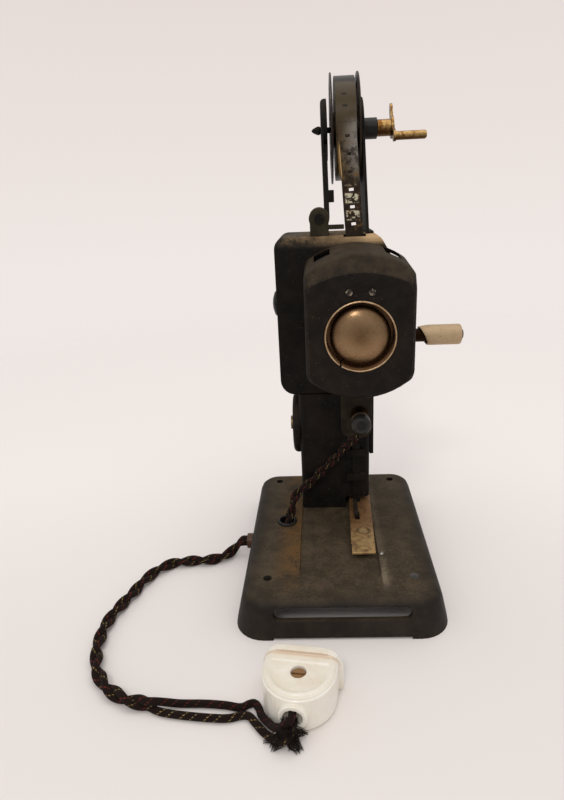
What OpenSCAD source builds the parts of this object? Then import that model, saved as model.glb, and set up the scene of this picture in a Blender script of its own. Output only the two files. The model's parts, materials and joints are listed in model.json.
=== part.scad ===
// Small hand-cranked movie projector for 9.5 mm film, seen from behind:
// X to the right, Y forward towards the lens, Z up. Millimetres.

/* [Base] */
// Width of the base at its rim
base_w = 106; // [100:1:120]
// Length of the base at its rim
base_l = 140; // [134:1:160]
// Height of the base
base_h = 19; // [18:0.5:24]
// Thickness of the base wall
base_wall = 2.4; // [1.8:0.1:3]
// Corner radius of the rim
base_corner = 15; // [12:0.5:18]
// Height of the four corner feet
foot_h = 1.2; // [0.8:0.1:2]
// Length of the slot in the front wall
slot_l = 67; // [40:1:70]
// Height of the slot in the front wall
slot_h = 6.4; // [5:0.1:6.6]
// Sideways distance of the screw holes
hole_dx = 74.4; // [66:0.2:78]
// Front to back distance of the screw holes
hole_dy = 102.8; // [96:0.2:104]
// Diameter of the screw holes
hole_d = 4.4; // [3:0.1:5]
// Diameter of the cord
cord_d = 6.4; // [5.6:0.1:7]

/* [Column] */
// Width of the column
column_w = 41.2; // [40:0.2:44]
// Depth of the column
column_l = 38; // [37.8:0.2:44]
// Diameter of the round cap
cap_d = 37; // [30:0.5:37.4]
// Depth of the round cap
cap_t = 4.4; // [3:0.1:6]
// Thickness of the film door
door_t = 2.2; // [2:0.1:3]
// Diameter of the door's hinge pin
door_pin_d = 2; // [1.6:0.1:2.4]
// Width of the catch leaf
leaf_w = 14; // [10:0.5:15]
// Thickness of the catch leaf
leaf_t = 0.8; // [0.6:0.1:1]
// Width of the lock bar
bar_w = 4.4; // [3:0.1:5]

/* [Head] */
// Height of the head's underside above the ground
head_z0 = 93; // [90:0.5:96]
// Height of the head's top above the ground
head_z1 = 181; // [179:0.5:186]
// Depth of the head
head_l = 46; // [45.6:0.2:52]
// Wall of the head
head_wall = 2.6; // [2:0.1:3]
// Height of the optical axis
axis_z = 135; // [133:0.5:137]
// Sideways place of the optical axis
axis_x = 12.6; // [11:0.1:14]

/* [Mechanism] */
// Diameter of the crank shaft
crank_shaft_d = 5; // [4:0.1:5.6]
// Length of the crank arm between its axes
crank_r = 21.5; // [18:0.5:30]
// Outer diameter of the crank grip
grip_d = 12; // [9:0.5:14]
// Tooth module of the gears
gear_m = 0.6; // [0.55:0.01:0.62]
// Diameter of the barrel shutter
shutter_d = 14.6; // [13:0.2:15]
// Stroke of the claw, one frame
frame_pitch = 8.6; // [7.5:0.1:9]

/* [Lamp house] */
// Width of the lamp house
house_w = 55; // [50:0.5:58]
// Height of the lamp house at its middle
house_h = 72.8; // [70:0.2:74]
// Length of the lamp house
house_l = 36; // [32:0.5:40]
// Sheet thickness of the lamp house
house_t = 1.5; // [1.2:0.1:1.8]
// Radius of its arched bottom
house_r = 39; // [36:0.5:44]
// Radius of its arched top
house_top_r = 44; // [40:0.5:50]
// Fall of its top towards the back
house_fall = 3.2; // [0:0.1:5]
// Outer diameter of the split ring
ring_d = 36; // [32:0.5:38]
// Diameter of the reflector's dome
dome_d = 28.6; // [24:0.2:30]

/* [Reel] */
// Diameter of the reel's flanges
reel_d = 55.4; // [50:0.2:56]
// Width of the reel over its flanges
reel_w = 15.2; // [13:0.1:15.2]
// Width of the film
film_w = 9.5; // [8:0.1:9.8]
// Diameter of the roll of film
roll_d = 52; // [30:0.5:52.6]
// Height of the reel's axis above the head
reel_rise = 53.6; // [52:0.2:60]
// Distance of the reel's middle to the left of the film gate
reel_shift = 3.6; // [3:0.1:4]
// Lean of the reel arm to the left, in degrees
lean = 1.6; // [1:0.1:2]
// Tilt of the reel's axis, in degrees
tilt = 0.6; // [0:0.1:1]
// Diameter of the rewind spindle
spindle_d = 5; // [4:0.1:5.6]
// Diameter of the swing arm's hinge pin
hinge_pin_d = 3; // [2.4:0.1:3.6]

/* [Plug] */
// Width of the porcelain plug
plug_w = 35; // [32:0.5:37]
// Height of the porcelain plug
plug_h = 19.6; // [18:0.2:22]
// Distance between the plug's contact tubes
plug_pitch = 19; // [16:0.5:20]
// Bore of the plug's contact tubes
contact_d = 4.2; // [4:0.1:5]

/* [Hidden] */
$fn = 48;
run_fit = 0.05;
gap = 0.3;
seat = 0.1;

// Film and optics
film_t = 0.3;
head_y0 = 22;
head_y1 = head_y0 + head_l;
film_y = head_y0 + 6.2;
film_x0 = axis_x - film_w / 2;
film_x1 = axis_x + film_w / 2;

// Base
channel_d = 1;
channel_z = base_h - channel_d;
channel_w = column_w + 0.8;
hole_y = 4.1;
slot_z = 9.6 + slot_h / 2 - 0.1;
bush_y = -1;
bush_z = 10.4;
bush_x = base_w / 2 - 1.4;
grommet_x = -29.6;
grommet_y = 5.2;
grommet_bore = cord_d + 1.6;

// Column
column_x = column_w / 2;
column_y0 = head_y0;
column_y1 = column_y0 + column_l;
cap_y = column_y0 + 19;
cap_z = 68.3;
chamber_x0 = -8;
chamber_y0 = column_y0 + 5;
chamber_y1 = column_y0 + 31;
chamber_z0 = 47;
chamber_z1 = head_z0 - 3;
hinge_x = column_x + 2.2;
hinge_y = column_y1 + 2;
door_z0 = 52.6;
door_z1 = head_z0 - 1.5;
lug_h = 8;

// Catch leaf and lock bar
leaf_x = 13.6;
leaf_z = channel_z + 3.6;
leaf_y0 = -31;
leaf_step = 7.6;
leaf_root = column_y0 + 12;
notch_y0 = 0.6;
notch_y1 = 9.6;
notch_w = 2.9;
notch_x = 11.4;
bar_x = 12.5;
bar_t = 1.6;
bar_top = 62;
bar_lift = 4;

// Head outline and mechanism axes
head_x0 = -30.5;
head_x1 = 37;
crank_y = head_y0 + 20;
crank_z = axis_z + 8;
shutter_y = crank_y - 2.5;
shutter_z = axis_z - 2.6;
big_teeth = 36;
small_teeth = 12;
mid_teeth = 32;
d_one = gear_m * (big_teeth + small_teeth) / 2;
d_two = gear_m * (mid_teeth + small_teeth) / 2;
span = norm([shutter_y - crank_y, shutter_z - crank_z]);
along = (d_one * d_one - d_two * d_two + span * span) / (2 * span);
aside = sqrt(d_one * d_one - along * along);
ray = [shutter_y - crank_y, shutter_z - crank_z] / span;
mid_y = crank_y + ray.x * along - ray.y * aside;
mid_z = crank_z + ray.y * along + ray.x * aside;
plate_x = -13;
plate_t = 1.5;
gear_t = 2.5;
one_x = head_x0 + head_wall + 1.9;
two_x = one_x + gear_t + 3.5;

// Lens
lens_od = 24;
lens_d = 18.8;
lens_y0 = crank_y + 10;

// Lamp house
house_x = axis_x + 0.2;
house_y0 = head_y0 - house_l;
house_z0 = 101.8;
house_zm = house_z0 + house_h / 2;
collar_id = ring_d + 0.3;
collar_od = collar_id + 2.4;
ring_y1 = house_y0 + 9.4;

// Lamp plug
lamp_x = 14.4;
lamp_z = 80.5;
socket_d = 9.2;
lamp_plug_d = 10.8;

// Reel on its nearly level axis, and the leaning arm beside it
reel_x = axis_x - reel_shift;
reel_y = head_y0 + 35;
reel_z = head_z1 + reel_rise;
flange_t = 0.8;
reel_x1 = reel_x + reel_w / 2;
reel_x0 = reel_x1 - reel_w;
arm_in = reel_x1 + 0.9;
arm_x = axis_x + (arm_in - axis_x + reel_rise * sin(lean)) / cos(lean);
arm_t = 1.6;
neck_d = 7.4;
hub_x0 = arm_in + arm_t + 0.3;
hub_x1 = hub_x0 + 7.4;
collar_x1 = hub_x1 + gap + 7.4;
lever_t = 1.3;
roll_w = film_w + 1.2;
film_lean = atan(reel_shift / (reel_rise + 1));
swing_x = -3.2;
swing_t = 2.8;
swing_lean = 0.8;
pivot_x = -6.1;
pivot_z = head_z1 + 8.6;
barrel_d = 11;
arm_y0 = reel_y - 15.5;
arm_y1 = reel_y + 15.5;
arm_head_r = 15.5;

// Plug on the ground, turned a little
plug_at = [-17.9, -93.6, 0];
plug_turn = -8.2;
plug_nose = 10.6;
boss_z = 9.6;
strand_d = cord_d / 2;

// The free cord from the bush to its fork, chosen by hand
cord_route = [
    [-53.2, -1, 10.4], [-56, -0.8, 10.2], [-58.6, -0.4, 8.4], [-61.2, -1.2, 5.6], [-64.5, -4, 3.8],
    [-68.5, -6.8, 3.2], [-74, -8.8, 3.2], [-85, -9.8, 3.2], [-95, -11.4, 3.2], [-102.5, -16.9, 3.2],
    [-108, -26, 3.2], [-112, -38.5, 3.2], [-116, -50, 3.2], [-118, -60, 3.2], [-117.6, -71, 3.2],
    [-115.6, -80.5, 3.2], [-110.5, -92, 3.2], [-102.5, -100.5, 3.2], [-93.5, -105.6, 3.2], [-84, -108, 3.2]
];
// Its two strands from the fork to the plug
strand_far = [
    [-83.85, -108.04, 4.8], [-82.4, -108.4, 4.8], [-80, -108.3, 4.8], [-76.5, -107.4, 3.4], [-70, -106.6, 1.6],
    [-60, -106.8, 1.6], [-51.2, -107.6, 1.6], [-44.4, -108.8, 1.6], [-41, -107.2, 1.6], [-38.6, -106.8, 1.6],
    [-36.7, -109.2, 1.6], [-35.1, -113, 1.8], [-31.8, -117.4, 2.8], [-29.4, -120.6, 4.6], [-26.6, -123.2, 7.4], [-24, -123.8, 10.2], [-22.2, -122.6, 11.4],
    [-21.8, -119.8, 11.4]
];
strand_near = [
    [-83.85, -108.04, 1.6], [-82.4, -108.4, 1.6], [-77, -110.8, 1.6], [-64, -112.9, 1.6], [-50.2, -114, 1.6], [-43.6, -112.7, 1.6],
    [-40.4, -113, 1.6], [-37.3, -116.3, 1.6], [-33.9, -120.2, 1.6], [-30.4, -123, 1.8], [-27, -125.4, 2.8],
    [-23.6, -126.2, 5.2], [-21.8, -123.4, 7.7], [-21.5, -119.8, 7.7]
];
// The lamp lead from the lamp plug down the column, through the base to the bush
lead_route = [
    [13.2, 7.4, 74.7], [12.6, 7.8, 72.6], [10.9, 9.4, 69.9], [7.7, 12.5, 66.3], [3.1, 15.5, 59.1],
    [-1.7, 17.6, 52.5], [-7.4, 18, 46.7], [-13.2, 17.8, 40.6], [-17.7, 17, 36.6], [-21, 15, 35.1],
    [-23.5, 12, 33.7], [-25.2, 9.4, 31.6], [-26.2, 7.4, 28.7], [-26.9, 6.2, 24.9], [-28.7, 5.6, 21.4],
    [-29.3, 5.3, 18.6], [-29.7, 5.1, 15], [-30.6, 4.6, 12.6], [-33, 3.4, 10.9], [-36.5, 1.6, 10.4],
    [-40, 0.6, 10.4], [-46, -1, 10.4], [-50, -1, 10.4]
];

function unit(v) = v / norm(v);

// Points of one rounded corner p between its neighbours a and b
function corner(a, p, b, r, n) =
    let (u = unit(a - p), v = unit(b - p), half = acos(u * v) / 2)
    let (c = p + unit(u + v) * r / sin(half), s = p + u * r / tan(half), e = p + v * r / tan(half))
    let (a0 = atan2(s.y - c.y, s.x - c.x), a1 = atan2(e.y - c.y, e.x - c.x))
    let (turn = (a1 - a0 + 540) % 360 - 180)
    [for (i = [0 : n]) c + r * [cos(a0 + turn * i / n), sin(a0 + turn * i / n)]];

// Outline from [x, y, corner radius] points
function rounded(pts, n = 6) =
    let (k = len(pts))
    [for (i = [0 : k - 1])
        let (p = pts[i], a = pts[(i + k - 1) % k], b = pts[(i + 1) % k])
        for (q = p.z > 0 ? corner([a.x, a.y], [p.x, p.y], [b.x, b.y], p.z, n) : [[p.x, p.y]]) q];

function arc(cx, cy, r, a0, a1, n) =
    [for (i = [0 : n]) let (a = a0 + (a1 - a0) * i / n) [cx + r * cos(a), cy + r * sin(a)]];

// Smooth curve through the points of a route, n steps to a stretch
function blend_at(a, b, c, d, t) =
    0.5 * (2 * b + (c - a) * t + (2 * a - 5 * b + 4 * c - d) * t * t + (3 * b - a - 3 * c + d) * t * t * t);
function smooth(pts, n) =
    let (k = len(pts) - 1)
    concat([for (i = [0 : k - 1])
        let (a = pts[max(i - 1, 0)], b = pts[i], c = pts[i + 1], d = pts[min(i + 2, k)])
        for (j = [0 : n - 1]) blend_at(a, b, c, d, j / n)], [pts[k]]);

// Turn about a point of the XZ plane, towards the left at the top
module tipped(a, x, z) { translate([x, 0, z]) rotate([0, -a, 0]) translate([-x, 0, -z]) children(); }
module leaned() { tipped(lean, axis_x, head_z1) children(); }
module on_axis() { tipped(tilt, reel_x, reel_z) children(); }

// Round bars along each axis and outlines drawn out along Y or X
module bar_along_x(d, x0, x1, y, z) { translate([x0, y, z]) rotate([0, 90, 0]) cylinder(d = d, h = x1 - x0); }
module bar_along_y(d, y0, y1, x, z) { translate([x, y0, z]) rotate([-90, 0, 0]) cylinder(d = d, h = y1 - y0); }
module bar_along_z(d, z0, z1, x, y) { translate([x, y, z0]) cylinder(d = d, h = z1 - z0); }
module block(x0, x1, y0, y1, z0, z1) { translate([x0, y0, z0]) cube([x1 - x0, y1 - y0, z1 - z0]); }
module draw_y(y0, y1) { translate([0, y1, 0]) rotate([90, 0, 0]) linear_extrude(y1 - y0) children(); }
module draw_x(x0, x1) { translate([x0, 0, 0]) rotate([90, 0, 90]) linear_extrude(x1 - x0) children(); }
module turned_x(y, z) { translate([0, y, z]) rotate([0, 90, 0]) rotate_extrude() children(); }
module turned_y(x, z) { translate([x, 0, z]) rotate([-90, 0, 0]) rotate_extrude() children(); }

// A round cord along a route: one closed tube
module tube_along(route, d, sides, ref) {
    k = len(route) - 1;
    way = [for (i = [0 : k]) unit(route[min(i + 1, k)] - route[max(i - 1, 0)])];
    points = [for (i = [0 : k])
        let (u = unit(cross(way[i], ref)), v = cross(u, way[i]))
        for (j = [0 : sides - 1]) route[i] + d / 2 * (u * cos(360 * j / sides) + v * sin(360 * j / sides))];
    walls = [for (i = [0 : k - 1], j = [0 : sides - 1])
        let (a = i * sides + j, b = i * sides + (j + 1) % sides)
        each [[a, b, b + sides], [a, b + sides, a + sides]]];
    ends = [[for (j = [sides - 1 : -1 : 0]) j], [for (j = [0 : sides - 1]) k * sides + j]];
    polyhedron(points = points, faces = concat(walls, ends), convexity = 6);
}

// BASE

// One corner of the base, a turned lump; four of them are wrapped by its walls
module base_corner_lump(inset) {
    r = base_corner - inset;
    h = base_h - inset;
    rotate_extrude($fn = 32) polygon([
        [0, 0], [r, 0], [r - 0.6, 3], [r - 3.2, h - 4.4], [r - 4.4, h - 1.9], [r - 6.2, h - 0.5], [r - 8.4, h], [0, h]
    ]);
}

module base_form(inset) {
    hull() for (x = [-1, 1], y = [-1, 1])
        translate([x * (base_w / 2 - base_corner), y * (base_l / 2 - base_corner), 0]) base_corner_lump(inset);
}

module base_plate() {
    color("dimgray") difference() {
        base_form(0);
        difference() {
            translate([0, 0, -0.01]) base_form(base_wall);
            // screw bosses under the top
            for (x = [-1, 1], y = [-1, 1])
                bar_along_z(hole_d + 5, base_h - 6, base_h, x * hole_dx / 2, hole_y + y * hole_dy / 2);
            // thick floor under the channel and the column
            block(-channel_w / 2 - 2, channel_w / 2 + 2, -base_l / 2 + 16, base_l / 2 - 12, channel_z - base_wall, base_h);
        }
        for (x = [-1, 1], y = [-1, 1])
            bar_along_z(hole_d, -1, base_h + 1, x * hole_dx / 2, hole_y + y * hole_dy / 2);
        // channel in the top with a round near end
        linear_extrude_channel();
        // slot in the front wall
        draw_y(-base_l / 2 - 1, -base_l / 2 + 12) {
            square_slot(slot_l, slot_h);
        }
        // the rim is cut back between the feet
        block(-base_w / 2 + 19.5, base_w / 2 - 19.5, -base_l, base_l, -1, foot_h);
        block(-base_w, base_w, -base_l / 2 + 21, base_l / 2 - 21, -1, foot_h);
        // holes for the grommet and the cord bush
        bar_along_z(grommet_bore + 1.6, 0, base_h + 1, grommet_x, grommet_y);
        bar_along_x(cord_d + 2.4, -base_w / 2 - 1, -base_w / 2 + 9, bush_y, bush_z);
    }
}

module linear_extrude_channel() {
    r = 9;
    y0 = -52;
    translate([0, 0, channel_z]) linear_extrude(channel_d + 1)
        polygon(rounded([
            [-channel_w / 2, y0, r], [channel_w / 2, y0, r],
            [channel_w / 2, base_l / 2 - 9, 3], [-channel_w / 2, base_l / 2 - 9, 3]
        ]));
}

module square_slot(l, h) {
    translate([-l / 2 + h / 2, slot_z - h / 2]) square([l - h, h]);
    for (x = [-1, 1]) translate([x * (l - h) / 2, slot_z]) circle(d = h);
}

module cord_grommet() {
    color("black") translate([grommet_x, grommet_y, 0]) rotate_extrude() polygon([
        [grommet_bore / 2, base_h - 3.4], [grommet_bore / 2 + 1.6, base_h - 3.4],
        [grommet_bore / 2 + 1.6, base_h - base_wall - 0.1], [grommet_bore / 2 + 0.7, base_h - base_wall - 0.1],
        [grommet_bore / 2 + 0.7, base_h + 0.1], [grommet_bore / 2 + 1.8, base_h + 0.1],
        [grommet_bore / 2 + 1.5, base_h + 1.1], [grommet_bore / 2 + 0.6, base_h + 1.5], [grommet_bore / 2, base_h + 1]
    ]);
}

module cord_bush() {
    x0 = -bush_x - 1.6;
    color("saddlebrown") difference() {
        union() {
            bar_along_x(cord_d + 2.2, x0, -bush_x + 6, bush_y, bush_z);
        }
        bar_along_x(cord_d + 0.1, x0 - 1, -bush_x + 7, bush_y, bush_z);
    }
}

// Spring leaf with a notch for the lock bar's toe and a turned-down end
module catch_leaf() {
    x0 = leaf_x - leaf_w / 2;
    x1 = leaf_x + leaf_w / 2;
    color("goldenrod") difference() {
        union() {
            block(x0, x1, leaf_y0 + leaf_step, leaf_root, leaf_z, leaf_z + leaf_t);
            draw_x(x0 + 0.4, x1) polygon([
                [leaf_y0 + leaf_step, leaf_z], [leaf_y0 + leaf_step, leaf_z + leaf_t],
                [leaf_y0 + leaf_t, leaf_z + leaf_t - 0.5], [leaf_y0, leaf_z + leaf_t - 0.8],
                [leaf_y0, leaf_z - 1], [leaf_y0 + leaf_t, leaf_z - 1], [leaf_y0 + leaf_t, leaf_z - 0.5]
            ]);
            bar_along_z(8, leaf_z + leaf_t, leaf_z + leaf_t + 0.25, leaf_x + 0.4, -11.4);
        }
        block(notch_x - notch_w / 2, notch_x + notch_w / 2, notch_y0, notch_y1, leaf_z - 1, leaf_z + 2);
        for (x = [-1, 1]) bar_along_z(2.1, leaf_z - 1, leaf_z + 2, leaf_x + x * 4, leaf_root - 4);
    }
}

module leaf_rivets() {
    color("silver") for (x = [-1, 1]) translate([leaf_x + x * 4, leaf_root - 4, 0]) {
        translate([0, 0, channel_z]) cylinder(d = 4.6, h = leaf_z - channel_z - 0.12);
        translate([0, 0, leaf_z - 0.13]) cylinder(d = 2, h = leaf_t + 0.26);
        translate([0, 0, leaf_z + leaf_t + 0.12]) cylinder(d = 3.6, h = 0.9);
    }
}

module catch_pin() {
    color("silver") translate([22.6, -28.9, base_h]) rotate_extrude()
        polygon([[0, 0], [1.3, 0], [1.3, 0.7], [0.8, 1.3], [0, 1.5]]);
}

// COLUMN

module column() {
    color("dimgray") difference() {
        union() {
            translate([0, 0, channel_z]) linear_extrude(head_z0 - channel_z) polygon(rounded([
                [-column_x, column_y0, 2.5], [column_x, column_y0, 2.5], [column_x, column_y1, 4], [-column_x, column_y1, 4]
            ]));
            for (z = [door_z0, door_z1 - lug_h]) difference() {
                union() {
                    bar_along_z(5, z, z + lug_h, hinge_x, hinge_y);
                    block(column_x - 8, hinge_x, hinge_y - 2.5, hinge_y + 0.6, z, z + lug_h);
                }
                bar_along_z(door_pin_d + 2 * run_fit, z - 1, z + lug_h + 1, hinge_x, hinge_y);
            }
        }
        // film chamber, open to the right
        draw_x(chamber_x0, column_x + 1) polygon(rounded([
            [chamber_y0, chamber_z0, 9], [chamber_y1, chamber_z0, 9], [chamber_y1, chamber_z1, 3], [chamber_y0, chamber_z1, 3]
        ]));
        // round recess behind the cap
        bar_along_x(cap_d - 7, -column_x - 1, chamber_x0 - 2, cap_y, cap_z);
        // film passage from the head
        block(film_x0 - 1, film_x1 + 1, film_y - 2, film_y + 3, chamber_z1 - 1, head_z0 + 1);
        // pocket for the root of the catch leaf
        block(leaf_x - leaf_w / 2 - 0.6, leaf_x + leaf_w / 2 + 0.6, column_y0 - 1, leaf_root + 2, channel_z - 1, leaf_z + 4);
        // two threaded holes for the bar guides
        for (z = [bar_top - 6, bar_top - 22], x = [-1, 1])
            bar_along_y(1.6, column_y0 - 1, column_y0 + 4, bar_x + x * (bar_w / 2 + 1.9), z);
    }
}

// Pressed cap with a rounded rim
module chamber_cap() {
    r = cap_d / 2;
    x0 = -column_x - cap_t;
    color("black") difference() {
        turned_x(cap_y, cap_z) polygon(rounded([
            [0, x0, 0], [r, x0, 2.6], [r, -column_x, 0], [r - 1.4, -column_x, 0], [r - 1.6, x0 + 1.4, 1], [0, x0 + 1.4, 0]
        ], 4));
        bar_along_x(3.1, x0 - 1, -column_x + 1, cap_y, cap_z);
    }
}

module cap_nut() {
    x0 = -column_x - cap_t;
    color("peru") union() {
        bar_along_x(8.4, x0 - 1.7, x0 - 0.05, cap_y, cap_z);
        bar_along_x(3, x0 - 0.1, chamber_x0 - 2, cap_y, cap_z);
    }
}

module film_door() {
    x0 = column_x + 0.35;
    x1 = x0 + door_t;
    z0 = door_z0 + lug_h + gap;
    z1 = door_z1 - lug_h - gap;
    color("black") difference() {
        union() {
            draw_x(x0, x1) polygon(rounded([
                [column_y0 + 3, door_z0, 1.5], [hinge_y - 3.4, door_z0, 1.5],
                [hinge_y - 3.4, door_z1, 1.5], [column_y0 + 3, door_z1, 1.5]
            ], 3));
            bar_along_z(5, z0, z1, hinge_x, hinge_y);
            block(x0 + 0.2, x1 - 0.2, hinge_y - 4, hinge_y, z0, z1);
        }
        bar_along_z(door_pin_d + 2 * run_fit, z0 - 1, z1 + 1, hinge_x, hinge_y);
        // finger hollow near the free edge
        bar_along_x(9, x1 - 0.6, x1 + 1, column_y0 + 10, (door_z0 + door_z1) / 2);
    }
}

module door_pin() {
    color("silver") union() {
        bar_along_z(door_pin_d, door_z0, door_z1 + 0.1, hinge_x, hinge_y);
        bar_along_z(door_pin_d + 1.2, door_z1 + 0.1, door_z1 + 1, hinge_x, hinge_y);
    }
}

// Flat bar with a narrow toe that reaches out over the base into the leaf's notch
module lock_bar() {
    y1 = column_y0 - seat;
    y0 = y1 - bar_t;
    toe_w = notch_w - 0.6;
    toe_z = leaf_z + 0.4;
    color("black") union() {
        block(bar_x - bar_w / 2, bar_x + bar_w / 2, y0, y1, leaf_z + leaf_t + 0.6, bar_top);
        block(notch_x - toe_w / 2, notch_x + toe_w / 2, notch_y1 - 1, y1, leaf_z + leaf_t + 0.6, leaf_z + leaf_t + 2.2);
        block(notch_x - toe_w / 2, notch_x + toe_w / 2, notch_y1 - 7.6, notch_y1 - 0.6, toe_z, leaf_z + leaf_t + 2.2);
    }
}

module bar_guides() {
    y1 = column_y0;
    y0 = y1 - bar_t - 0.4;
    w = bar_w / 2 + 0.25;
    color("black") for (z = [bar_top - 6, bar_top - 22]) difference() {
        union() {
            block(bar_x - w - 3.2, bar_x + w + 3.2, y0 - 0.9, y1, z - 2, z + 2);
            for (x = [-1, 1]) bar_along_y(1.5, y1 - 0.5, y1 + 3.6, bar_x + x * (bar_w / 2 + 1.9), z);
        }
        block(bar_x - w, bar_x + w, y0, y1 + 1, z - 3, z + 3);
    }
}

module lamp_bracket() {
    color("slategray") difference() {
        draw_y(column_y0 - 1.5, column_y0) polygon(rounded([
            [lamp_x - 10.6, lamp_z - 14.6, 6], [lamp_x + 7.6, lamp_z - 14.6, 6],
            [lamp_x + 7.6, house_z0 - 1, 1], [lamp_x - 10.6, house_z0 - 1, 1]
        ], 4));
        bar_along_y(socket_d - 1.8, column_y0 - 3, column_y0 + 1, lamp_x, lamp_z);
    }
}

// Threaded shell that the lamp plug screws on
module lamp_socket() {
    r = socket_d / 2;
    y1 = column_y0 - 1.5;
    color("goldenrod") turned_y(lamp_x, lamp_z) polygon([
        for (q = concat([[0, y1], [r + 0.6, y1], [r + 0.6, y1 - 1.2]],
            [for (i = [0 : 3]) each [[r, y1 - 1.6 - i * 1.6], [r - 0.5, y1 - 2.4 - i * 1.6]]],
            [[r - 0.5, y1 - 8], [0, y1 - 8]])) [q.x, q.y]
    ]);
}

module lamp_plug() {
    r = lamp_plug_d / 2;
    y1 = column_y0 - 9.55;
    y0 = 2;
    color("black") turned_y(lamp_x, lamp_z) polygon([
        [0, y1], [r - 1.2, y1], [r - 1.2, y1 - 1], [r - 0.2, y1 - 1.4], [r - 0.2, y1 - 2.6], [r, y1 - 3],
        [r, y0 + 1.4], [r - 0.6, y0 + 0.5], [r - 1.6, y0], [r - 2.2, y0], [r - 2.6, y0 + 0.6], [0, y0 + 0.6]
    ]);
}

module lamp_lead() {
    color("saddlebrown") tube_along(smooth(lead_route, 2), cord_d - 0.8, 8, [0, 1, 0.3]);
}

// HEAD

function head_outline(i) = rounded([
    [head_x0 + i, head_z0 + i, 9 - i], [head_x1 - i, head_z0 + i, 9 - i],
    [head_x1 - i, head_z1 - 20 - i / 2, 5], [head_x1 - 11.5 - i / 2, head_z1 - i, 6], [head_x0 + i, head_z1 - i, 6 - i]
]);
function head_side(i) = rounded([
    [head_y0 + i, head_z0 + i, 1.5], [head_y1 + 2 * i, head_z0 + i, 0],
    [head_y1 + 2 * i, head_z1 - i, 0], [head_y0 + i, head_z1 - i, 7 - i]
]);

module head_form(i) {
    intersection() {
        draw_y(head_y0 + i, head_y1 + i) polygon(head_outline(i));
        draw_x(head_x0, head_x1) polygon(head_side(i));
    }
}

module head_casting() {
    slot_z0 = head_z1 - head_wall - 1;
    color("dimgray") difference() {
        union() {
            difference() {
                head_form(0);
                head_form(head_wall);
            }
            // bearing bosses of the crank and middle shafts
            bar_along_x(10, head_x1 - head_wall - 5, head_x1 + 0.6, crank_y, crank_z);
        }
        bar_along_x(crank_shaft_d + 2 * run_fit, head_x0 - 2, head_x1 + 2, crank_y, crank_z);
        bar_along_x(3.5 + 2 * run_fit, head_x0 + 1, head_x0 + head_wall + 1, mid_y, mid_z);
        // film slot in the top and passage in the floor
        block(film_x0 - 1.2, film_x1 + 1.2, film_y - 2.6, film_y + 4, slot_z0, head_z1 + 1);
        block(film_x0 - 1, film_x1 + 1, film_y - 2, film_y + 3, head_z0 - 1, head_z0 + head_wall + 1);
        // light opening in the back wall
        bar_along_y(16, head_y0 - 1, head_y0 + head_wall + 1, axis_x, axis_z);
    }
}

module front_plate() {
    color("black") difference() {
        draw_y(head_y1, head_y1 + 2) polygon(head_outline(0.8));
        bar_along_y(lens_od + 0.1, head_y1 - 1, head_y1 + 3, axis_x, axis_z);
    }
}

// Back plate of the film gate with its picture window and two guide posts
module gate_plate() {
    y0 = head_y0 + head_wall;
    y1 = film_y - film_t / 2 - 0.1;
    color("silver") difference() {
        union() {
            block(film_x0 - 4, film_x1 + 4, y0, y1, axis_z - 24, axis_z + 34);
            for (x = [film_x0 - 2.4, film_x1 + 2.4], z = [axis_z - 11, axis_z + 11])
                bar_along_y(1.8, y1 - 0.1, film_y + 3.6, x, z);
        }
        block(axis_x - 4.3, axis_x + 4.3, y0 - 1, y1 + 1, axis_z - 3.3, axis_z + 3.3);
    }
}

module pressure_plate() {
    y0 = film_y + film_t / 2 + 0.1;
    color("silver") difference() {
        block(film_x0 - 4, film_x1 + 4, y0, y0 + 1.4, axis_z - 14, axis_z + 14);
        block(axis_x - 4.3, axis_x + 4.3, y0 - 1, y0 + 3, axis_z - 3.3, axis_z + 3.3);
        for (x = [film_x0 - 2.4, film_x1 + 2.4], z = [axis_z - 11, axis_z + 11])
            bar_along_y(1.8 + 2 * run_fit, y0 - 1, y0 + 3, x, z);
    }
}

// Plate that carries the gear shafts, on three posts from the left wall
module gear_plate() {
    x0 = head_x0 + head_wall;
    gy0 = head_y0 + 4;
    gz0 = axis_z - 31;
    color("gray") difference() {
        union() {
            draw_x(plate_x, plate_x + plate_t) polygon(rounded([
                [gy0, gz0, 3], [head_y1 - 3, gz0, 3], [head_y1 - 3, crank_z + 17, 3], [gy0, crank_z + 17, 3]
            ], 4));
            for (q = [[gy0 + 4, gz0 + 4], [head_y1 - 7, gz0 + 3.4], [head_y1 - 6.6, crank_z + 13.4]])
                bar_along_x(5, x0, plate_x + 0.1, q.x, q.y);
            bar_along_x(7, plate_x, plate_x + 9, shutter_y, shutter_z);
            // two guides for the claw's slide
            for (z = [axis_z - 12.2, axis_z - 30]) difference() {
                block(plate_x + plate_t - 0.1, plate_x + plate_t + 3.6, film_y + 0.6, film_y + 6, z, z + 2);
                block(plate_x + plate_t, plate_x + plate_t + 2.3, film_y + 1.7, film_y + 4.5, z - 1, z + 3);
            }
        }
        bar_along_x(crank_shaft_d + 2 * run_fit, plate_x - 1, plate_x + plate_t + 1, crank_y, crank_z);
        bar_along_x(3.5 + 2 * run_fit, plate_x - 1, plate_x + plate_t + 1, mid_y, mid_z);
        bar_along_x(4 + 2 * run_fit, plate_x - 1, plate_x + 10, shutter_y, shutter_z);
    }
}

// Spur gear with straight-sided teeth, its axis on X
module gear(teeth, bore, x0, x1, y, z, phase) {
    r = gear_m * teeth / 2;
    tip = r + 0.85 * gear_m;
    root = r - 1.2 * gear_m;
    step = 360 / teeth;
    draw_x(x0, x1) translate([y, z]) rotate(phase) difference() {
        polygon([for (i = [0 : teeth - 1])
            for (q = [[root, -0.32], [r, -0.2], [tip, -0.1], [tip, 0.1], [r, 0.2], [root, 0.32]])
                let (a = step * (i + q.y)) q.x * [cos(a), sin(a)]]);
        circle(d = bore);
    }
}

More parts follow.
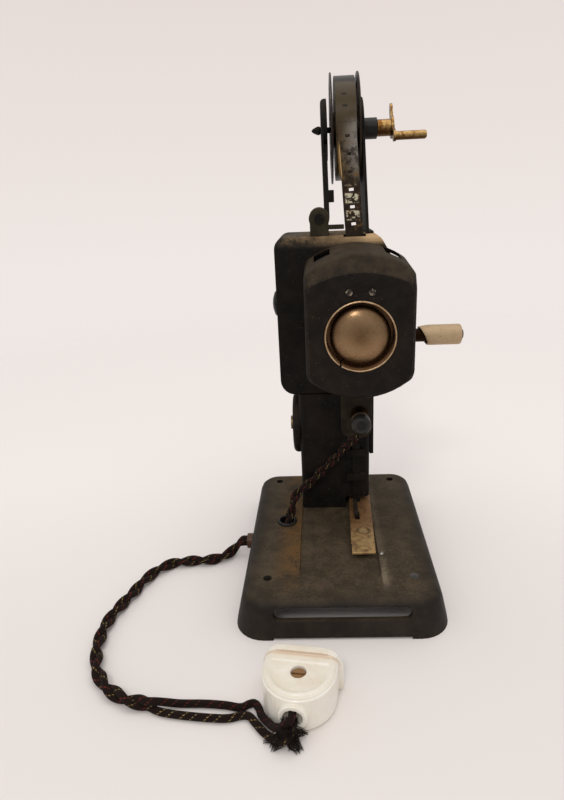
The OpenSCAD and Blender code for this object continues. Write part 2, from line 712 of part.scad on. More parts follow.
// Angle of the line from one axis to another, seen along X
function aim(y0, z0, y1, z1) = atan2(z1 - z0, y1 - y0);

module crank_shaft() {
    color("silver") bar_along_x(crank_shaft_d, head_x0 - 2.5, head_x1 + 8.4, crank_y, crank_z);
}

module crank_gear() {
    a = aim(crank_y, crank_z, mid_y, mid_z);
    color("goldenrod") gear(big_teeth, crank_shaft_d, one_x, one_x + gear_t, crank_y, crank_z, a);
}

module mid_shaft() {
    a = aim(mid_y, mid_z, crank_y, crank_z);
    color("silver") union() {
        bar_along_x(3.5, head_x0 + 1.2, plate_x + plate_t + 1, mid_y, mid_z);
        gear(small_teeth, 3, one_x - 0.3, one_x + gear_t + 0.3, mid_y, mid_z, a + 180 / small_teeth);
    }
}

module mid_gear() {
    a = aim(mid_y, mid_z, shutter_y, shutter_z);
    color("goldenrod") gear(mid_teeth, 3.5, two_x, two_x + gear_t, mid_y, mid_z, a);
}

module shutter_shaft() {
    a = aim(shutter_y, shutter_z, mid_y, mid_z);
    color("silver") union() {
        bar_along_x(4, two_x - 0.3, axis_x - 8.5, shutter_y, shutter_z);
        gear(small_teeth, 3, two_x - 0.3, two_x + gear_t + 0.3, shutter_y, shutter_z, a + 180 / small_teeth);
    }
}

// Cup with two wings that turn through the light
module barrel_shutter() {
    x0 = axis_x - 10.6;
    x1 = axis_x + 7;
    r = shutter_d / 2;
    color("dimgray") difference() {
        bar_along_x(2 * r, x0, x1, shutter_y, shutter_z);
        bar_along_x(2 * r - 1.6, x0 + 1.4, x1 + 1, shutter_y, shutter_z);
        bar_along_x(4, x0 - 1, x0 + 2, shutter_y, shutter_z);
        block(x0 + 3, x1 + 1, shutter_y - r - 1, shutter_y + r + 1, shutter_z - r * 0.7, shutter_z + r * 0.7);
    }
}

// Slide with a finger whose tooth stands before the film's holes
module claw() {
    x0 = plate_x + plate_t + 0.15;
    y0 = film_y + 1.85;
    z1 = axis_z - 10 + frame_pitch;
    finger_z = axis_z - 19;
    color("silver") union() {
        block(x0, x0 + 2, y0, y0 + 2.5, axis_z - 30.2, z1);
        block(x0, axis_x + 1.2, y0, y0 + 1.4, finger_z, finger_z + 1.6);
        block(axis_x - 0.7, axis_x + 0.7, film_y + film_t / 2 + 0.35, y0 + 0.1, finger_z, finger_z + 0.9);
    }
}

module shaft_knob() {
    x1 = head_x0 - 0.4;
    color("black") difference() {
        turned_x(crank_y, crank_z) polygon(rounded([
            [0, x1, 0], [6.6, x1, 0.4], [7.6, x1 - 0.8, 0.5], [6.4, x1 - 2, 1.4], [3, x1 - 3, 3], [0, x1 - 3.3, 0]
        ], 4));
        bar_along_x(crank_shaft_d, x1 - 2.1, x1 + 1, crank_y, crank_z);
    }
}

grip_z = crank_z - crank_r;

module crank_arm() {
    x0 = head_x1 + 4.4;
    x1 = x0 + 2.4;
    color("silver") difference() {
        union() {
            bar_along_x(11, x0, x1, crank_y, crank_z);
            bar_along_x(8, head_x1 + 1, x0 + 0.1, crank_y, crank_z);
            bar_along_x(8.6, x0, x1, crank_y, grip_z);
            block(x0, x1, crank_y - 3.8, crank_y + 3.8, grip_z, crank_z);
        }
        bar_along_x(crank_shaft_d, head_x1, x1 + 1, crank_y, crank_z);
        bar_along_x(4, x0 - 1, x1 + 1, crank_y, grip_z);
    }
}

module grip_pin() {
    x0 = head_x1 + 4.4;
    color("silver") union() {
        bar_along_x(4, x0 - 0.6, x0 + 34.6, crank_y, grip_z);
        turned_x(crank_y, grip_z)
            polygon([[0, x0 + 2.4], [4.2, x0 + 2.4], [3.9, x0 + 7], [3.9, x0 + 13], [0, x0 + 13]]);
        bar_along_x(5.4, x0 + 34.5, x0 + 35.4, crank_y, grip_z);
    }
}

// Sleeve with a slanted inner end that turns on the pin
module crank_grip() {
    x0 = head_x1 + 16.5;
    x1 = head_x1 + 38.6;
    color("tan") difference() {
        turned_x(crank_y, grip_z)
            polygon([[0, x0], [grip_d / 2, x0], [grip_d / 2, x1 - 1], [grip_d / 2 - 1, x1], [0, x1]]);
        bar_along_x(8.4, x0 - 1, x0 + 4.4, crank_y, grip_z);
        bar_along_x(4 + 2 * run_fit, x0, x1 + 1, crank_y, grip_z);
        draw_y(crank_y - 10, crank_y + 10)
            polygon([[x0 - 1, grip_z - 7], [x0 + 3.6, grip_z - 7], [x0 - 0.4, grip_z + 7], [x0 - 1, grip_z + 7]]);
    }
}

// Lens tube with its flange on the front plate
module lens_mount() {
    r0 = lens_d / 2 + run_fit;
    r1 = lens_od / 2;
    y2 = head_y1 + 2;
    color("black") turned_y(axis_x, axis_z) polygon([
        [r0, lens_y0], [r1, lens_y0], [r1, y2], [r1 + 5, y2], [r1 + 5, y2 + 1.4], [r1 + 0.8, y2 + 2.4],
        [r1 + 0.8, y2 + 6], [r1, y2 + 6.8], [r0, y2 + 6.8]
    ]);
}

module lens_barrel() {
    r = lens_d / 2;
    y2 = head_y1 + 11.4;
    color("goldenrod") turned_y(axis_x, axis_z) polygon([
        [5.2, lens_y0 + 2], [r, lens_y0 + 2], [r, y2], [r + 2.2, y2], [r + 2.2, y2 + 5], [r + 1, y2 + 6.4],
        [r - 1.6, y2 + 6.4], [r - 2, y2 + 4.4], [6.6, y2 + 4.4], [6.6, y2 - 2], [5.2, y2 - 4]
    ]);
}

module lenses() {
    color("lightblue") {
        turned_y(axis_x, axis_z) polygon(concat(
            [[0, head_y1 + 11.4], [6.5, head_y1 + 11.4]],
            [for (i = [0 : 5]) let (t = i / 5) [6.5 * (1 - t), head_y1 + 13.4 + 1.6 * (1 - (1 - t) * (1 - t))]]));
        bar_along_y(10.3, lens_y0 + 3, lens_y0 + 6, axis_x, axis_z);
    }
}

// LAMP HOUSE

// Outline with straight sides and arched ends: half width, crest, top radius, foot, bottom radius
function house_outline(w, zt, rt, zb, rb) =
    let (at = acos(w / rt), ab = acos(w / rb))
    concat(arc(house_x, zt - rt, rt, at, 180 - at, 14), arc(house_x, zb + rb, rb, 180 + ab, 360 - ab, 14));

module house_form(i) {
    w = house_w / 2;
    zt = house_z0 + house_h;
    front = head_y0 + 5;
    r = house_top_r;
    hull() {
        draw_y(house_y0 + i, house_y0 + i + 0.1)
            polygon(house_outline(w - 1.6 - i, zt - 8.3 - i, r + 9, house_z0 + 2 + i, house_r));
        draw_y(house_y0 + 1.5 + i / 2, house_y0 + 1.6 + i / 2)
            polygon(house_outline(w - 0.3 - i, zt - 6.3 - i, r + 6.6, house_z0 + 0.6 + i, house_r - i));
        draw_y(house_y0 + 6, house_y0 + 6.1) polygon(house_outline(w - i, zt - i, r - i, house_z0 + i, house_r - i));
        draw_y(front + i, front + i + 0.1)
            polygon(house_outline(w - i, zt + house_fall - i, r - i, house_z0 + i, house_r - i));
    }
}

module lamp_house() {
    color("dimgray") difference() {
        union() {
            difference() {
                house_form(0);
                house_form(house_t);
                draw_x(head_x0 - 20, head_x1 + 20) polygon(head_side(0));
                block(head_x0, head_x1 + 20, head_y0, head_y1, head_z0, head_z1 - 9);
            }
            // rolled collar for the ring
            bar_along_y(collar_od, house_y0 + 0.2, ring_y1 + 2, house_x, axis_z);
        }
        bar_along_y(collar_id, house_y0 - 1, ring_y1 + 0.9, house_x, axis_z);
        bar_along_y(collar_id - 3.4, house_y0, ring_y1 + 3, house_x, axis_z);
        // vents in the arched top
        for (x = [-1, 1]) translate([house_x + x * 17.6 - 3.6, house_y0 + 21, house_zm]) cube([7.2, 12, house_h / 2 + 4]);
        for (x = [-1, 1]) bar_along_y(2, house_y0 - 1, house_y0 + 3, house_x + x * 5.6, axis_z + 22);
    }
}

// Sprung band with a gap low on its left
module split_ring() {
    r = ring_d / 2;
    color("goldenrod") difference() {
        turned_y(house_x, axis_z) polygon([
            [r - 1, house_y0 - 0.5], [r - 0.6, house_y0 - 0.8], [r - 0.1, house_y0 - 0.5], [r, ring_y1], [r - 1, ring_y1]
        ]);
        translate([house_x, 0, axis_z]) rotate([0, 35, 0]) block(-0.6, 0.6, house_y0 - 2, ring_y1 + 1, -r - 1, -r + 2);
    }
}

// Bowl, its back towards the viewer, with a flat rim behind the ring
module reflector() {
    r = dome_d / 2;
    rise = 8.6;
    ball = (r * r + rise * rise) / (2 * rise);
    y0 = ring_y1 + 0.1;
    open = asin(r / ball);
    back = arc(0, y0 - rise + ball, ball, -90, -90 + open, 10);
    front = arc(0, y0 - rise + ball, ball - 0.7, -90 + open, -90, 10);
    color("darkgoldenrod") turned_y(house_x, axis_z)
        polygon(concat(back, [[ring_d / 2, y0], [ring_d / 2, y0 + 0.7], [r - 0.4, y0 + 0.7]], front));
}

module house_screws() {
    color("silver") for (x = [-1, 1]) translate([house_x + x * 5.6, house_y0, axis_z + 22]) rotate([-90, 0, 0]) {
        translate([0, 0, -0.7]) cylinder(d = 3.4, h = 0.7);
        cylinder(d = 1.9, h = 3);
    }
}

// Glass in the head's light opening, convex towards the lamp
module condenser() {
    y1 = head_y0 + head_wall - 0.2;
    color("lightblue") turned_y(axis_x, axis_z)
        polygon(concat([[0, y1], [7.95, y1]], [for (i = [0 : 6]) let (t = i / 6)
            [7.95 * cos(90 * t), head_y0 + 0.2 - 4.6 * sin(90 * t)]]));
}

module lamp_holder() {
    color("black") translate([house_x, house_y0 + 20, 0]) rotate_extrude() polygon([
        [0, house_z0 + house_t + 0.7], [7, house_z0 + house_t + 0.7], [7, house_z0 + 5], [5.4, house_z0 + 6],
        [5.4, house_z0 + 15], [4, house_z0 + 15], [4, house_z0 + 10], [0, house_z0 + 10]
    ]);
}

module lamp_bulb() {
    color("lightyellow") translate([house_x, house_y0 + 20, 0]) union() {
        translate([0, 0, house_z0 + 10.05]) cylinder(d = 7.9, h = 12);
        translate([0, 0, axis_z]) sphere(d = 17);
        translate([0, 0, house_z0 + 20]) cylinder(d = 8.6, h = axis_z - house_z0 - 24);
    }
}

// REEL ASSEMBLY

module reel_arm() {
    color("black") difference() {
        union() {
            leaned() {
                draw_x(arm_x, arm_x + arm_t) {
                    polygon([
                        [head_y0 + 7, head_z1 + 0.4], [head_y0 + 44, head_z1 + 0.4],
                        [reel_y + arm_head_r * 0.99, reel_z - 2], [reel_y - arm_head_r * 0.99, reel_z - 2]
                    ]);
                    translate([reel_y, reel_z]) circle(r = arm_head_r);
                }
            }
            block(arm_x + arm_t - 1.2, arm_x + 6.6, head_y0 + 11, head_y0 + 42, head_z1, head_z1 + 1.1);
        }
        on_axis() bar_along_x(neck_d + 0.1, arm_in - 3, arm_in + arm_t + 3, reel_y, reel_z);
    }
}

module reel_bearing() {
    color("black") on_axis() difference() {
        union() {
            bar_along_x(10.8, hub_x0, hub_x1, reel_y, reel_z);
            bar_along_x(neck_d, arm_in - 0.4, hub_x0 + 0.1, reel_y, reel_z);
        }
        bar_along_x(spindle_d + 2 * run_fit, arm_in - 2, hub_x1 + 1, reel_y, reel_z);
    }
}

// Strip with a dished round head and a rolled barrel at its foot
module swung() { tipped(swing_lean, pivot_x, pivot_z) children(); }

module swing_arm() {
    x1 = swing_x + swing_t;
    color("black") swung() difference() {
        union() {
            turned_x(reel_y, reel_z) polygon(rounded([
                [0, swing_x, 0], [arm_head_r, swing_x, 2], [arm_head_r, swing_x + 3.3, 0],
                [arm_head_r - 1.2, swing_x + 3.3, 0], [arm_head_r - 1.2, swing_x + 1.2, 0.8], [0, swing_x + 1.2, 0]
            ], 4));
            // tapered strip with a turned-in edge towards the film
            draw_x(swing_x, swing_x + 1.2) polygon([
                [head_y0 + 10, pivot_z], [head_y0 + 21.4, pivot_z], [head_y0 + 21.4, pivot_z + 8],
                [reel_y + 4, reel_z - 14.6], [reel_y - 15, reel_z - 2]
            ]);
            draw_x(swing_x, x1) polygon([
                [head_y0 + 10, pivot_z], [head_y0 + 11.2, pivot_z], [reel_y - 13.8, reel_z - 8], [reel_y - 15, reel_z - 8]
            ]);
            block(x1 - 0.1, x1 + 2.7, head_y0 + 11.4, head_y0 + 12.2, reel_z - 37.2, reel_z - 31);
            bar_along_y(barrel_d, head_y0 + 9.3, head_y0 + 22, pivot_x, pivot_z);
        }
        bar_along_y(hinge_pin_d + 2 * run_fit, head_y0 + 4, head_y0 + 26, pivot_x, pivot_z);
        bar_along_x(3, swing_x - 2, swing_x + 6, reel_y, reel_z);
    }
}

module hinge_block() {
    p = [pivot_x, pivot_z];
    color("black") difference() {
        union() {
            for (y = [head_y0 + 5, head_y0 + 22.3]) {
                bar_along_y(barrel_d, y, y + 4, p.x, p.y);
                block(p.x - 5, p.x + 5, y, y + 4, head_z1, p.y);
            }
            block(p.x - 5, p.x + 5, head_y0 + 8.9, head_y0 + 22.4, head_z1, p.y - barrel_d / 2 - 0.5);
            // film guide that reaches from the block towards the film slot
            block(p.x + 4, film_x0 - 0.8, head_y0 + 5, head_y0 + 7, head_z1 + 3, head_z1 + 5.4);
        }
        bar_along_y(hinge_pin_d + 2 * run_fit, head_y0 + 4, head_y0 + 28, p.x, p.y);
    }
}

module hinge_pin() {
    p = [pivot_x, pivot_z];
    color("silver") union() {
        bar_along_y(hinge_pin_d, head_y0 + 5, head_y0 + 26.8, p.x, p.y);
        bar_along_y(hinge_pin_d + 2.4, head_y0 + 4, head_y0 + 5, p.x, p.y);
    }
}

// Pivot of the swing arm: a cone outside and a short pin that centres the reel
module pivot_knob() {
    x0 = swing_x - 5.2;
    color("silver") swung() turned_x(reel_y, reel_z) polygon([
        [0, x0], [0.9, x0 + 0.6], [1.9, x0 + 2.6], [2.3, x0 + 4], [1.7, swing_x], [1.5, swing_x],
        [1.5, reel_x0 + 1], [0.8, reel_x0 + 1.8], [0, reel_x0 + 1.8]
    ]);
}

module flange(x0, holes) {
    difference() {
        bar_along_x(reel_d, x0, x0 + flange_t, reel_y, reel_z);
        for (i = [0 : holes - 1]) translate([0, reel_y, reel_z]) rotate([360 * (i + 0.3) / holes, 0, 0])
            bar_along_x(11, x0 - 1, x0 + 2, 18, 0);
    }
}

module reel() {
    color("black") on_axis() difference() {
        union() {
            flange(reel_x0, 5);
            flange(reel_x1 - flange_t, 5);
            bar_along_x(18, reel_x0, reel_x1, reel_y, reel_z);
        }
        bar_along_x(spindle_d, reel_x0 + 4, reel_x1 + 1, reel_y, reel_z);
        bar_along_x(4.2, reel_x0 - 1, reel_x0 + 5, reel_y, reel_z);
    }
}

module film_roll() {
    color("darkkhaki") on_axis() difference() {
        bar_along_x(roll_d, reel_x - roll_w / 2, reel_x + roll_w / 2, reel_y, reel_z);
        bar_along_x(18.1, reel_x0, reel_x1, reel_y, reel_z);
    }
}

// Film from the roll down to the gate: a leaning stretch and an upright one
module film_strip() {
    y_top = reel_y - roll_d / 2 - film_t / 2 - gap;
    top_z = reel_z + 1;
    y_slot = film_y + 0.4;
    bottom = chamber_z1 - 8;
    color("darkolivegreen") union() {
        tipped(film_lean, axis_x, head_z1) film_run(y_slot, head_z1 - 0.4, y_top, top_z, 7);
        difference() {
            draw_x(film_x0, film_x1) polygon([
                [y_slot - film_t / 2, head_z1], [y_slot + film_t / 2, head_z1],
                [film_y + film_t / 2, axis_z + 30], [film_y + film_t / 2, bottom + 12], [film_y + film_t / 2 + 2.4, bottom],
                [film_y - film_t / 2 + 2.4, bottom], [film_y - film_t / 2, bottom + 12], [film_y - film_t / 2, axis_z + 30]
            ]);
            for (i = [-5 : 4]) film_hole(film_y, axis_z + frame_pitch * (i + 0.5));
        }
    }
}

module film_hole(y, z) {
    block(axis_x - 1.2, axis_x + 1.2, y - 1, y + 1, z - 0.7, z + 0.7);
}

module film_run(y0, z0, y1, z1, holes) {
    h = film_t / 2;
    difference() {
        draw_x(film_x0, film_x1) polygon([[y0 - h, z0], [y0 + h, z0], [y1 + h, z1], [y1 - h, z1]]);
        for (i = [0 : holes - 1]) let (z = head_z1 + 5.4 + i * frame_pitch)
            if (z < z1 - 2) film_hole(y0 + (y1 - y0) * (z - z0) / (z1 - z0), z);
    }
}

module rewind_spindle() {
    color("goldenrod") on_axis() union() {
        bar_along_x(spindle_d, reel_x0 + 5.4, collar_x1 + lever_t + 0.6, reel_y, reel_z);
        bar_along_x(8.6, hub_x1 + gap, collar_x1, reel_y, reel_z);
    }
}

// Bowed lever with its handle pin
module rewind_lever() {
    x0 = collar_x1;
    x1 = x0 + lever_t;
    pin = [-11, -5.2];
    tail = [4.6, 9.6];
    color("goldenrod") on_axis() difference() {
        union() {
            bar_along_x(11.4, x0, x1, reel_y, reel_z);
            for (q = [pin, tail]) {
                bar_along_x(5.6, x0, x1, reel_y + q.x, reel_z + q.y);
                translate([0, reel_y, reel_z]) rotate([atan2(q.y, q.x), 0, 0])
                    block(x0, x1, 0, norm(q), -2.5, 2.5);
            }
            bar_along_x(4.4, x1 - 0.1, x1 + 15.6, reel_y + pin.x, reel_z + pin.y);
            bar_along_x(3.6, x1 + 15.5, x1 + 16.3, reel_y + pin.x, reel_z + pin.y);
        }
        bar_along_x(spindle_d, x0 - 1, x1 + 1, reel_y, reel_z);
    }
}

// CORD AND PLUG

module power_cord() { color("saddlebrown") tube_along(smooth(cord_route, 2), cord_d, 8, [0, 0, 1]); }

module cord_strands() {
    color("saddlebrown") {
        tube_along(smooth(strand_far, 1), strand_d, 8, [0.1, 0, 1]);
        tube_along(smooth(strand_near, 1), strand_d, 8, [0.1, 0, 1]);
    }
}

module plug_frame() { translate(plug_at) rotate([0, 0, plug_turn]) children(); }

// Plan of the plug's body: straight sides and a round nose
function plug_plan(r, back) = concat([[r, back]], arc(0, -plug_nose, r, 0, -180, 20), [[-r, back]]);

module plug_body() {
    r = plug_w / 2 - 1.8;
    color("ivory") plug_frame() difference() {
        union() {
            // flange at the far end, its top corners well rounded
            draw_y(-3.4, 0) polygon(rounded([
                [-plug_w / 2, 0, 2], [plug_w / 2, 0, 2], [plug_w / 2, plug_h, 9], [-plug_w / 2, plug_h, 9]
            ]));
            translate([0, 0, 1.2]) linear_extrude(plug_h - 4.4) polygon(plug_plan(r, -3));
            linear_extrude(1.3) polygon(plug_plan(r - 1, -3));
            translate([0, 0, plug_h - 3.3]) linear_extrude(1.2) polygon(plug_plan(r - 0.8, -3));
            translate([0, 0, plug_h - 2.2]) linear_extrude(0.8) polygon(plug_plan(r - 2.2, -3));
            bar_along_y(11.8, -plug_nose - r - 1.6, -plug_nose - r + 5, 0, boss_z);
        }
        bar_along_y(7.8, -plug_nose - r - 3, -plug_nose - r + 4, 0, boss_z);
        // shallow panel in the top, then the recess and hole of the screw
        translate([0, 0, plug_h - 1.9]) linear_extrude(2) polygon(plug_plan(r - 3.4, -7.4));
        bar_along_z(6.6, plug_h - 5, plug_h, 0, -12.4);
        bar_along_z(3.1, 6, plug_h, 0, -12.4);
        for (x = [-1, 1]) bar_along_y(contact_d + 1.4, -18, 1, x * plug_pitch / 2, plug_h / 2);
    }
}

module plug_screw() {
    color("darkgoldenrod") plug_frame() translate([0, -12.4, plug_h - 4.95]) difference() {
        union() {
            cylinder(d = 6, h = 1.7);
            translate([0, 0, -6]) cylinder(d = 3, h = 6.1);
        }
        block(-4, 4, -0.5, 0.5, 1, 3);
    }
}

// Contact tubes a little behind the far face
module plug_contacts() {
    color("goldenrod") plug_frame() for (x = [-1, 1]) difference() {
        bar_along_y(contact_d + 1.4, -18, -1.6, x * plug_pitch / 2, plug_h / 2);
        bar_along_y(contact_d, -16.6, 0, x * plug_pitch / 2, plug_h / 2);
    }
}

base_plate();
cord_grommet();
cord_bush();
catch_leaf();
leaf_rivets();
catch_pin();
column();
chamber_cap();
cap_nut();
film_door();
door_pin();
lock_bar();
bar_guides();
lamp_bracket();
lamp_socket();
lamp_plug();
lamp_lead();
head_casting();
front_plate();
gate_plate();
pressure_plate();
gear_plate();
crank_shaft();
crank_gear();
mid_shaft();
mid_gear();
shutter_shaft();
barrel_shutter();
claw();
shaft_knob();
crank_arm();
grip_pin();
crank_grip();
lens_mount();
lens_barrel();
lenses();
lamp_house();
split_ring();
reflector();
house_screws();
condenser();
lamp_holder();
lamp_bulb();
reel_arm();
reel_bearing();
swing_arm();
hinge_block();
hinge_pin();
pivot_knob();
reel();
film_roll();
film_strip();
rewind_spindle();
rewind_lever();
power_cord();
cord_strands();
plug_body();
plug_contacts();
plug_screw();
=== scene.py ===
import json
import math
import random

import bmesh
import bpy
from mathutils import Matrix, Vector


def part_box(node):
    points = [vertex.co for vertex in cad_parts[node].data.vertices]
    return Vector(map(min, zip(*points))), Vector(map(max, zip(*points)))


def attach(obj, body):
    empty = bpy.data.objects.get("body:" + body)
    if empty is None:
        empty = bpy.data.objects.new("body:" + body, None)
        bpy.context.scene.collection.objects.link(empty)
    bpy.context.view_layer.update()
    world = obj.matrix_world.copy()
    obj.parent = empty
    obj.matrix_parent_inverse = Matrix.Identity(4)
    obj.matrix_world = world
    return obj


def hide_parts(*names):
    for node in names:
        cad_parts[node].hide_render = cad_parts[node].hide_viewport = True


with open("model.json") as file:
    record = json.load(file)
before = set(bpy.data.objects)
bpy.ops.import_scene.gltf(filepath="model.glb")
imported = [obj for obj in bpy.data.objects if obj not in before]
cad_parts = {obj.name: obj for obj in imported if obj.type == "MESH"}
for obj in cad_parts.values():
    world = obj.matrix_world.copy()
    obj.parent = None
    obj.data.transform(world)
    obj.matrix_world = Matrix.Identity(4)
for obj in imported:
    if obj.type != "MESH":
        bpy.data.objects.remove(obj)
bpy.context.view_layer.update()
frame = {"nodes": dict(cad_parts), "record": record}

MM = 0.001
WEAR = "wear"
scene = bpy.context.scene
random.seed(7)

# The photograph's camera: its place in millimetres, its turn sideways, down and about its axis in degrees, its
# focal length and longer side in pixels, and how many pixels its axis lies beside the middle of the frame
CAMERA_AT = (-6.9, -283.8, 201.3)
CAMERA_TURN = (-1.97, 20.02, 2.18)
LENS_PIXELS = 560
FRAME_LONG = 800
AXIS_OFF_CENTRE = 22.2

# Places on the part, in millimetres: the leaf's round mark, the base's near screw holes, the lamp plug's axis,
# the lamp house's middle and its optical axis, the grip's axis, and the top and the right edge of the arm's foot
MARK_X, MARK_Y = 14.4, -11.4
HOLE_X, HOLE_Y, HOLE_R = 37.2, -47.3, 2.2
LAMP_X, LAMP_Z = 14.4, 80.5
HOUSE_X, AXIS_Z = 12.8, 135
CRANK_Y, GRIP_Z = 42, 121.5
FOOT_TOP, ARM_EDGE = 182.3, 23.3

# The film's middle line with its lean, a hole of the strip and their pitch, and two holes that show on the roll
FILM_X, FILM_Z, FILM_LEAN = 12.6, 181, 0.067
STRIP_HOLE, FRAME_PITCH = 186.4, 8.6
ROLL_HOLES = (249.1, 243.3)

# The porcelain's flange, which places the painted shade in the groove below it: the way it faces, and how far its
# plane lies from the middle of the part
FLANGE_WAY, FLANGE_AWAY = (0.1426, 0.9898), 95.2

# The lamp house: the arc of its roof beside the vents, as a radius and the height of its centre at the front
# shoulder, the roof's rise towards the back, the vents' ends, and how far out its side corners lie at least
ROOF_R, ROOF_CENTRE, ROOF_RISE = 44, 130.6, 0.0914
SHOULDER_Y = -8
VENT_ENDS = (7, 19)
SIDE_CORNERS = 26.4


def place_camera():
    """A camera at the photograph's height and tilt, with the frame moved a little sideways."""
    yaw, pitch, roll = (math.radians(a) for a in CAMERA_TURN)
    ahead = Vector((math.sin(yaw) * math.cos(pitch), math.cos(yaw) * math.cos(pitch), -math.sin(pitch)))
    level = Vector((math.cos(yaw), -math.sin(yaw), 0))
    down = ahead.cross(level)
    right = level * math.cos(roll) + down * math.sin(roll)
    below = down * math.cos(roll) - level * math.sin(roll)
    lens = bpy.data.cameras.new("camera")
    lens.lens = lens.sensor_width * LENS_PIXELS / FRAME_LONG
    lens.shift_x = -AXIS_OFF_CENTRE / FRAME_LONG
    lens.clip_start = 0.01
    camera = bpy.data.objects.new("camera", lens)
    scene.collection.objects.link(camera)
    turn = Matrix((right, -below, -ahead)).transposed().to_4x4()
    camera.matrix_world = Matrix.Translation(Vector(CAMERA_AT) * MM) @ turn
    scene.camera = camera


place_camera()


# MATERIALS


class Wire:
    """One value inside a material. Arithmetic on it adds Math nodes."""

    def __init__(self, finish, socket):
        self.finish = finish
        self.socket = socket

    def worked(self, operation, *values):
        return self.finish.add("ShaderNodeMath", {"operation": operation}, *values)

    def __add__(self, other):
        return self.worked("ADD", self, other)

    def __sub__(self, other):
        return self.worked("SUBTRACT", self, other)

    def __rsub__(self, other):
        return self.worked("SUBTRACT", other, self)

    def __mul__(self, other):
        return self.worked("MULTIPLY", self, other)

    def __truediv__(self, other):
        return self.worked("DIVIDE", self, other)

    def sine(self):
        return self.worked("SINE", self)

    def fraction(self):
        return self.worked("FRACT", self)

    def size(self):
        return self.worked("ABSOLUTE", self)

    __radd__ = __add__
    __rmul__ = __mul__


def rgba(colour):
    return colour if isinstance(colour, Wire) else (*colour[:3], 1)


class Finish:
    """A material on the Principled shader, with places on the piece in millimetres."""

    def __init__(self, name, **sockets):
        self.material = bpy.data.materials.new(name)
        self.material.use_nodes = True
        self.tree = self.material.node_tree
        self.shader = self.tree.nodes["Principled BSDF"]
        for socket, value in sockets.items():
            self.wear(socket.replace("_", " "), value)
        place = self.add("ShaderNodeTexCoord", out="Object")
        self.place = self.add("ShaderNodeVectorMath", {"operation": "SCALE"}, place, Scale=1 / MM)

    def wear(self, socket, value):
        self.join(value, self.shader.inputs[socket])

    def join(self, value, socket):
        if isinstance(value, Wire):
            self.tree.links.new(value.socket, socket)
        else:
            socket.default_value = value

    def add(self, kind, settings=None, *values, out=0, **sockets):
        """A node of that type: its settings, then its inputs by order or by name."""
        node = self.tree.nodes.new(kind)
        for name, value in (settings or {}).items():
            setattr(node, name, value)
        for key, value in [*enumerate(values), *sockets.items()]:
            if value is not None:
                self.join(value, node.inputs[key.replace("_", " ") if isinstance(key, str) else key])
        return Wire(self, node.outputs[out])

    def tint(self, mask, below, above):
        """Colour below where the mask is 0, and above where it is 1."""
        unused = [None] * 5
        return self.add("ShaderNodeMix", {"data_type": "RGBA"}, mask, *unused, rgba(below), rgba(above), out=2)

    def ease(self, value, low, high):
        """0 up to low and 1 from high, with a soft step between them."""
        return self.add("ShaderNodeMapRange", {"interpolation_type": "SMOOTHSTEP"}, value, low, high)

    def band(self, value, low, rise, fall, high):
        """1 from rise to fall and 0 beyond low and high, with soft steps."""
        return self.ease(value, low, rise) * (1 - self.ease(value, fall, high))

    def noise(self, scale, detail, rough, place=None):
        place = place or self.place
        return self.add("ShaderNodeTexNoise", {}, Vector=place, Scale=scale, Detail=detail, Roughness=rough)

    def cells(self, scale):
        return self.add("ShaderNodeTexVoronoi", {}, Vector=self.place, Scale=scale)

    def stretched(self, x, y, z):
        """The place on the piece, stretched along its axes."""
        return self.add("ShaderNodeVectorMath", {"operation": "MULTIPLY"}, self.place, (x, y, z))

    def along(self, axis, place=None):
        return self.add("ShaderNodeSeparateXYZ", {}, place or self.place, out="XYZ".index(axis))

    def apart(self, axes, point):
        """How far the place is from a point, measured along the given axes only."""
        flat = self.stretched(*(int(axis in axes) for axis in "XYZ"))
        offset = self.add("ShaderNodeVectorMath", {"operation": "SUBTRACT"}, flat, point)
        return self.add("ShaderNodeVectorMath", {"operation": "LENGTH"}, offset, out="Value")

    def facing(self, axis):
        return self.along(axis, self.add("ShaderNodeTexCoord", out="Normal"))

    def edges(self):
        return self.add("ShaderNodeAttribute", {"attribute_name": WEAR}, out="Fac")

    def relief(self, height, depth, over=None):
        """A bump of that depth in millimetres, over another one."""
        bump = self.add("ShaderNodeBump", {}, Distance=depth * MM, Height=height, Normal=over)
        self.wear("Normal", bump)
        return bump


def scaled(colour, factor):
    return tuple(min(1, c * factor) for c in colour)


RUST = (0.05, 0.026, 0.012)
RUBBED = (0.14, 0.11, 0.075)


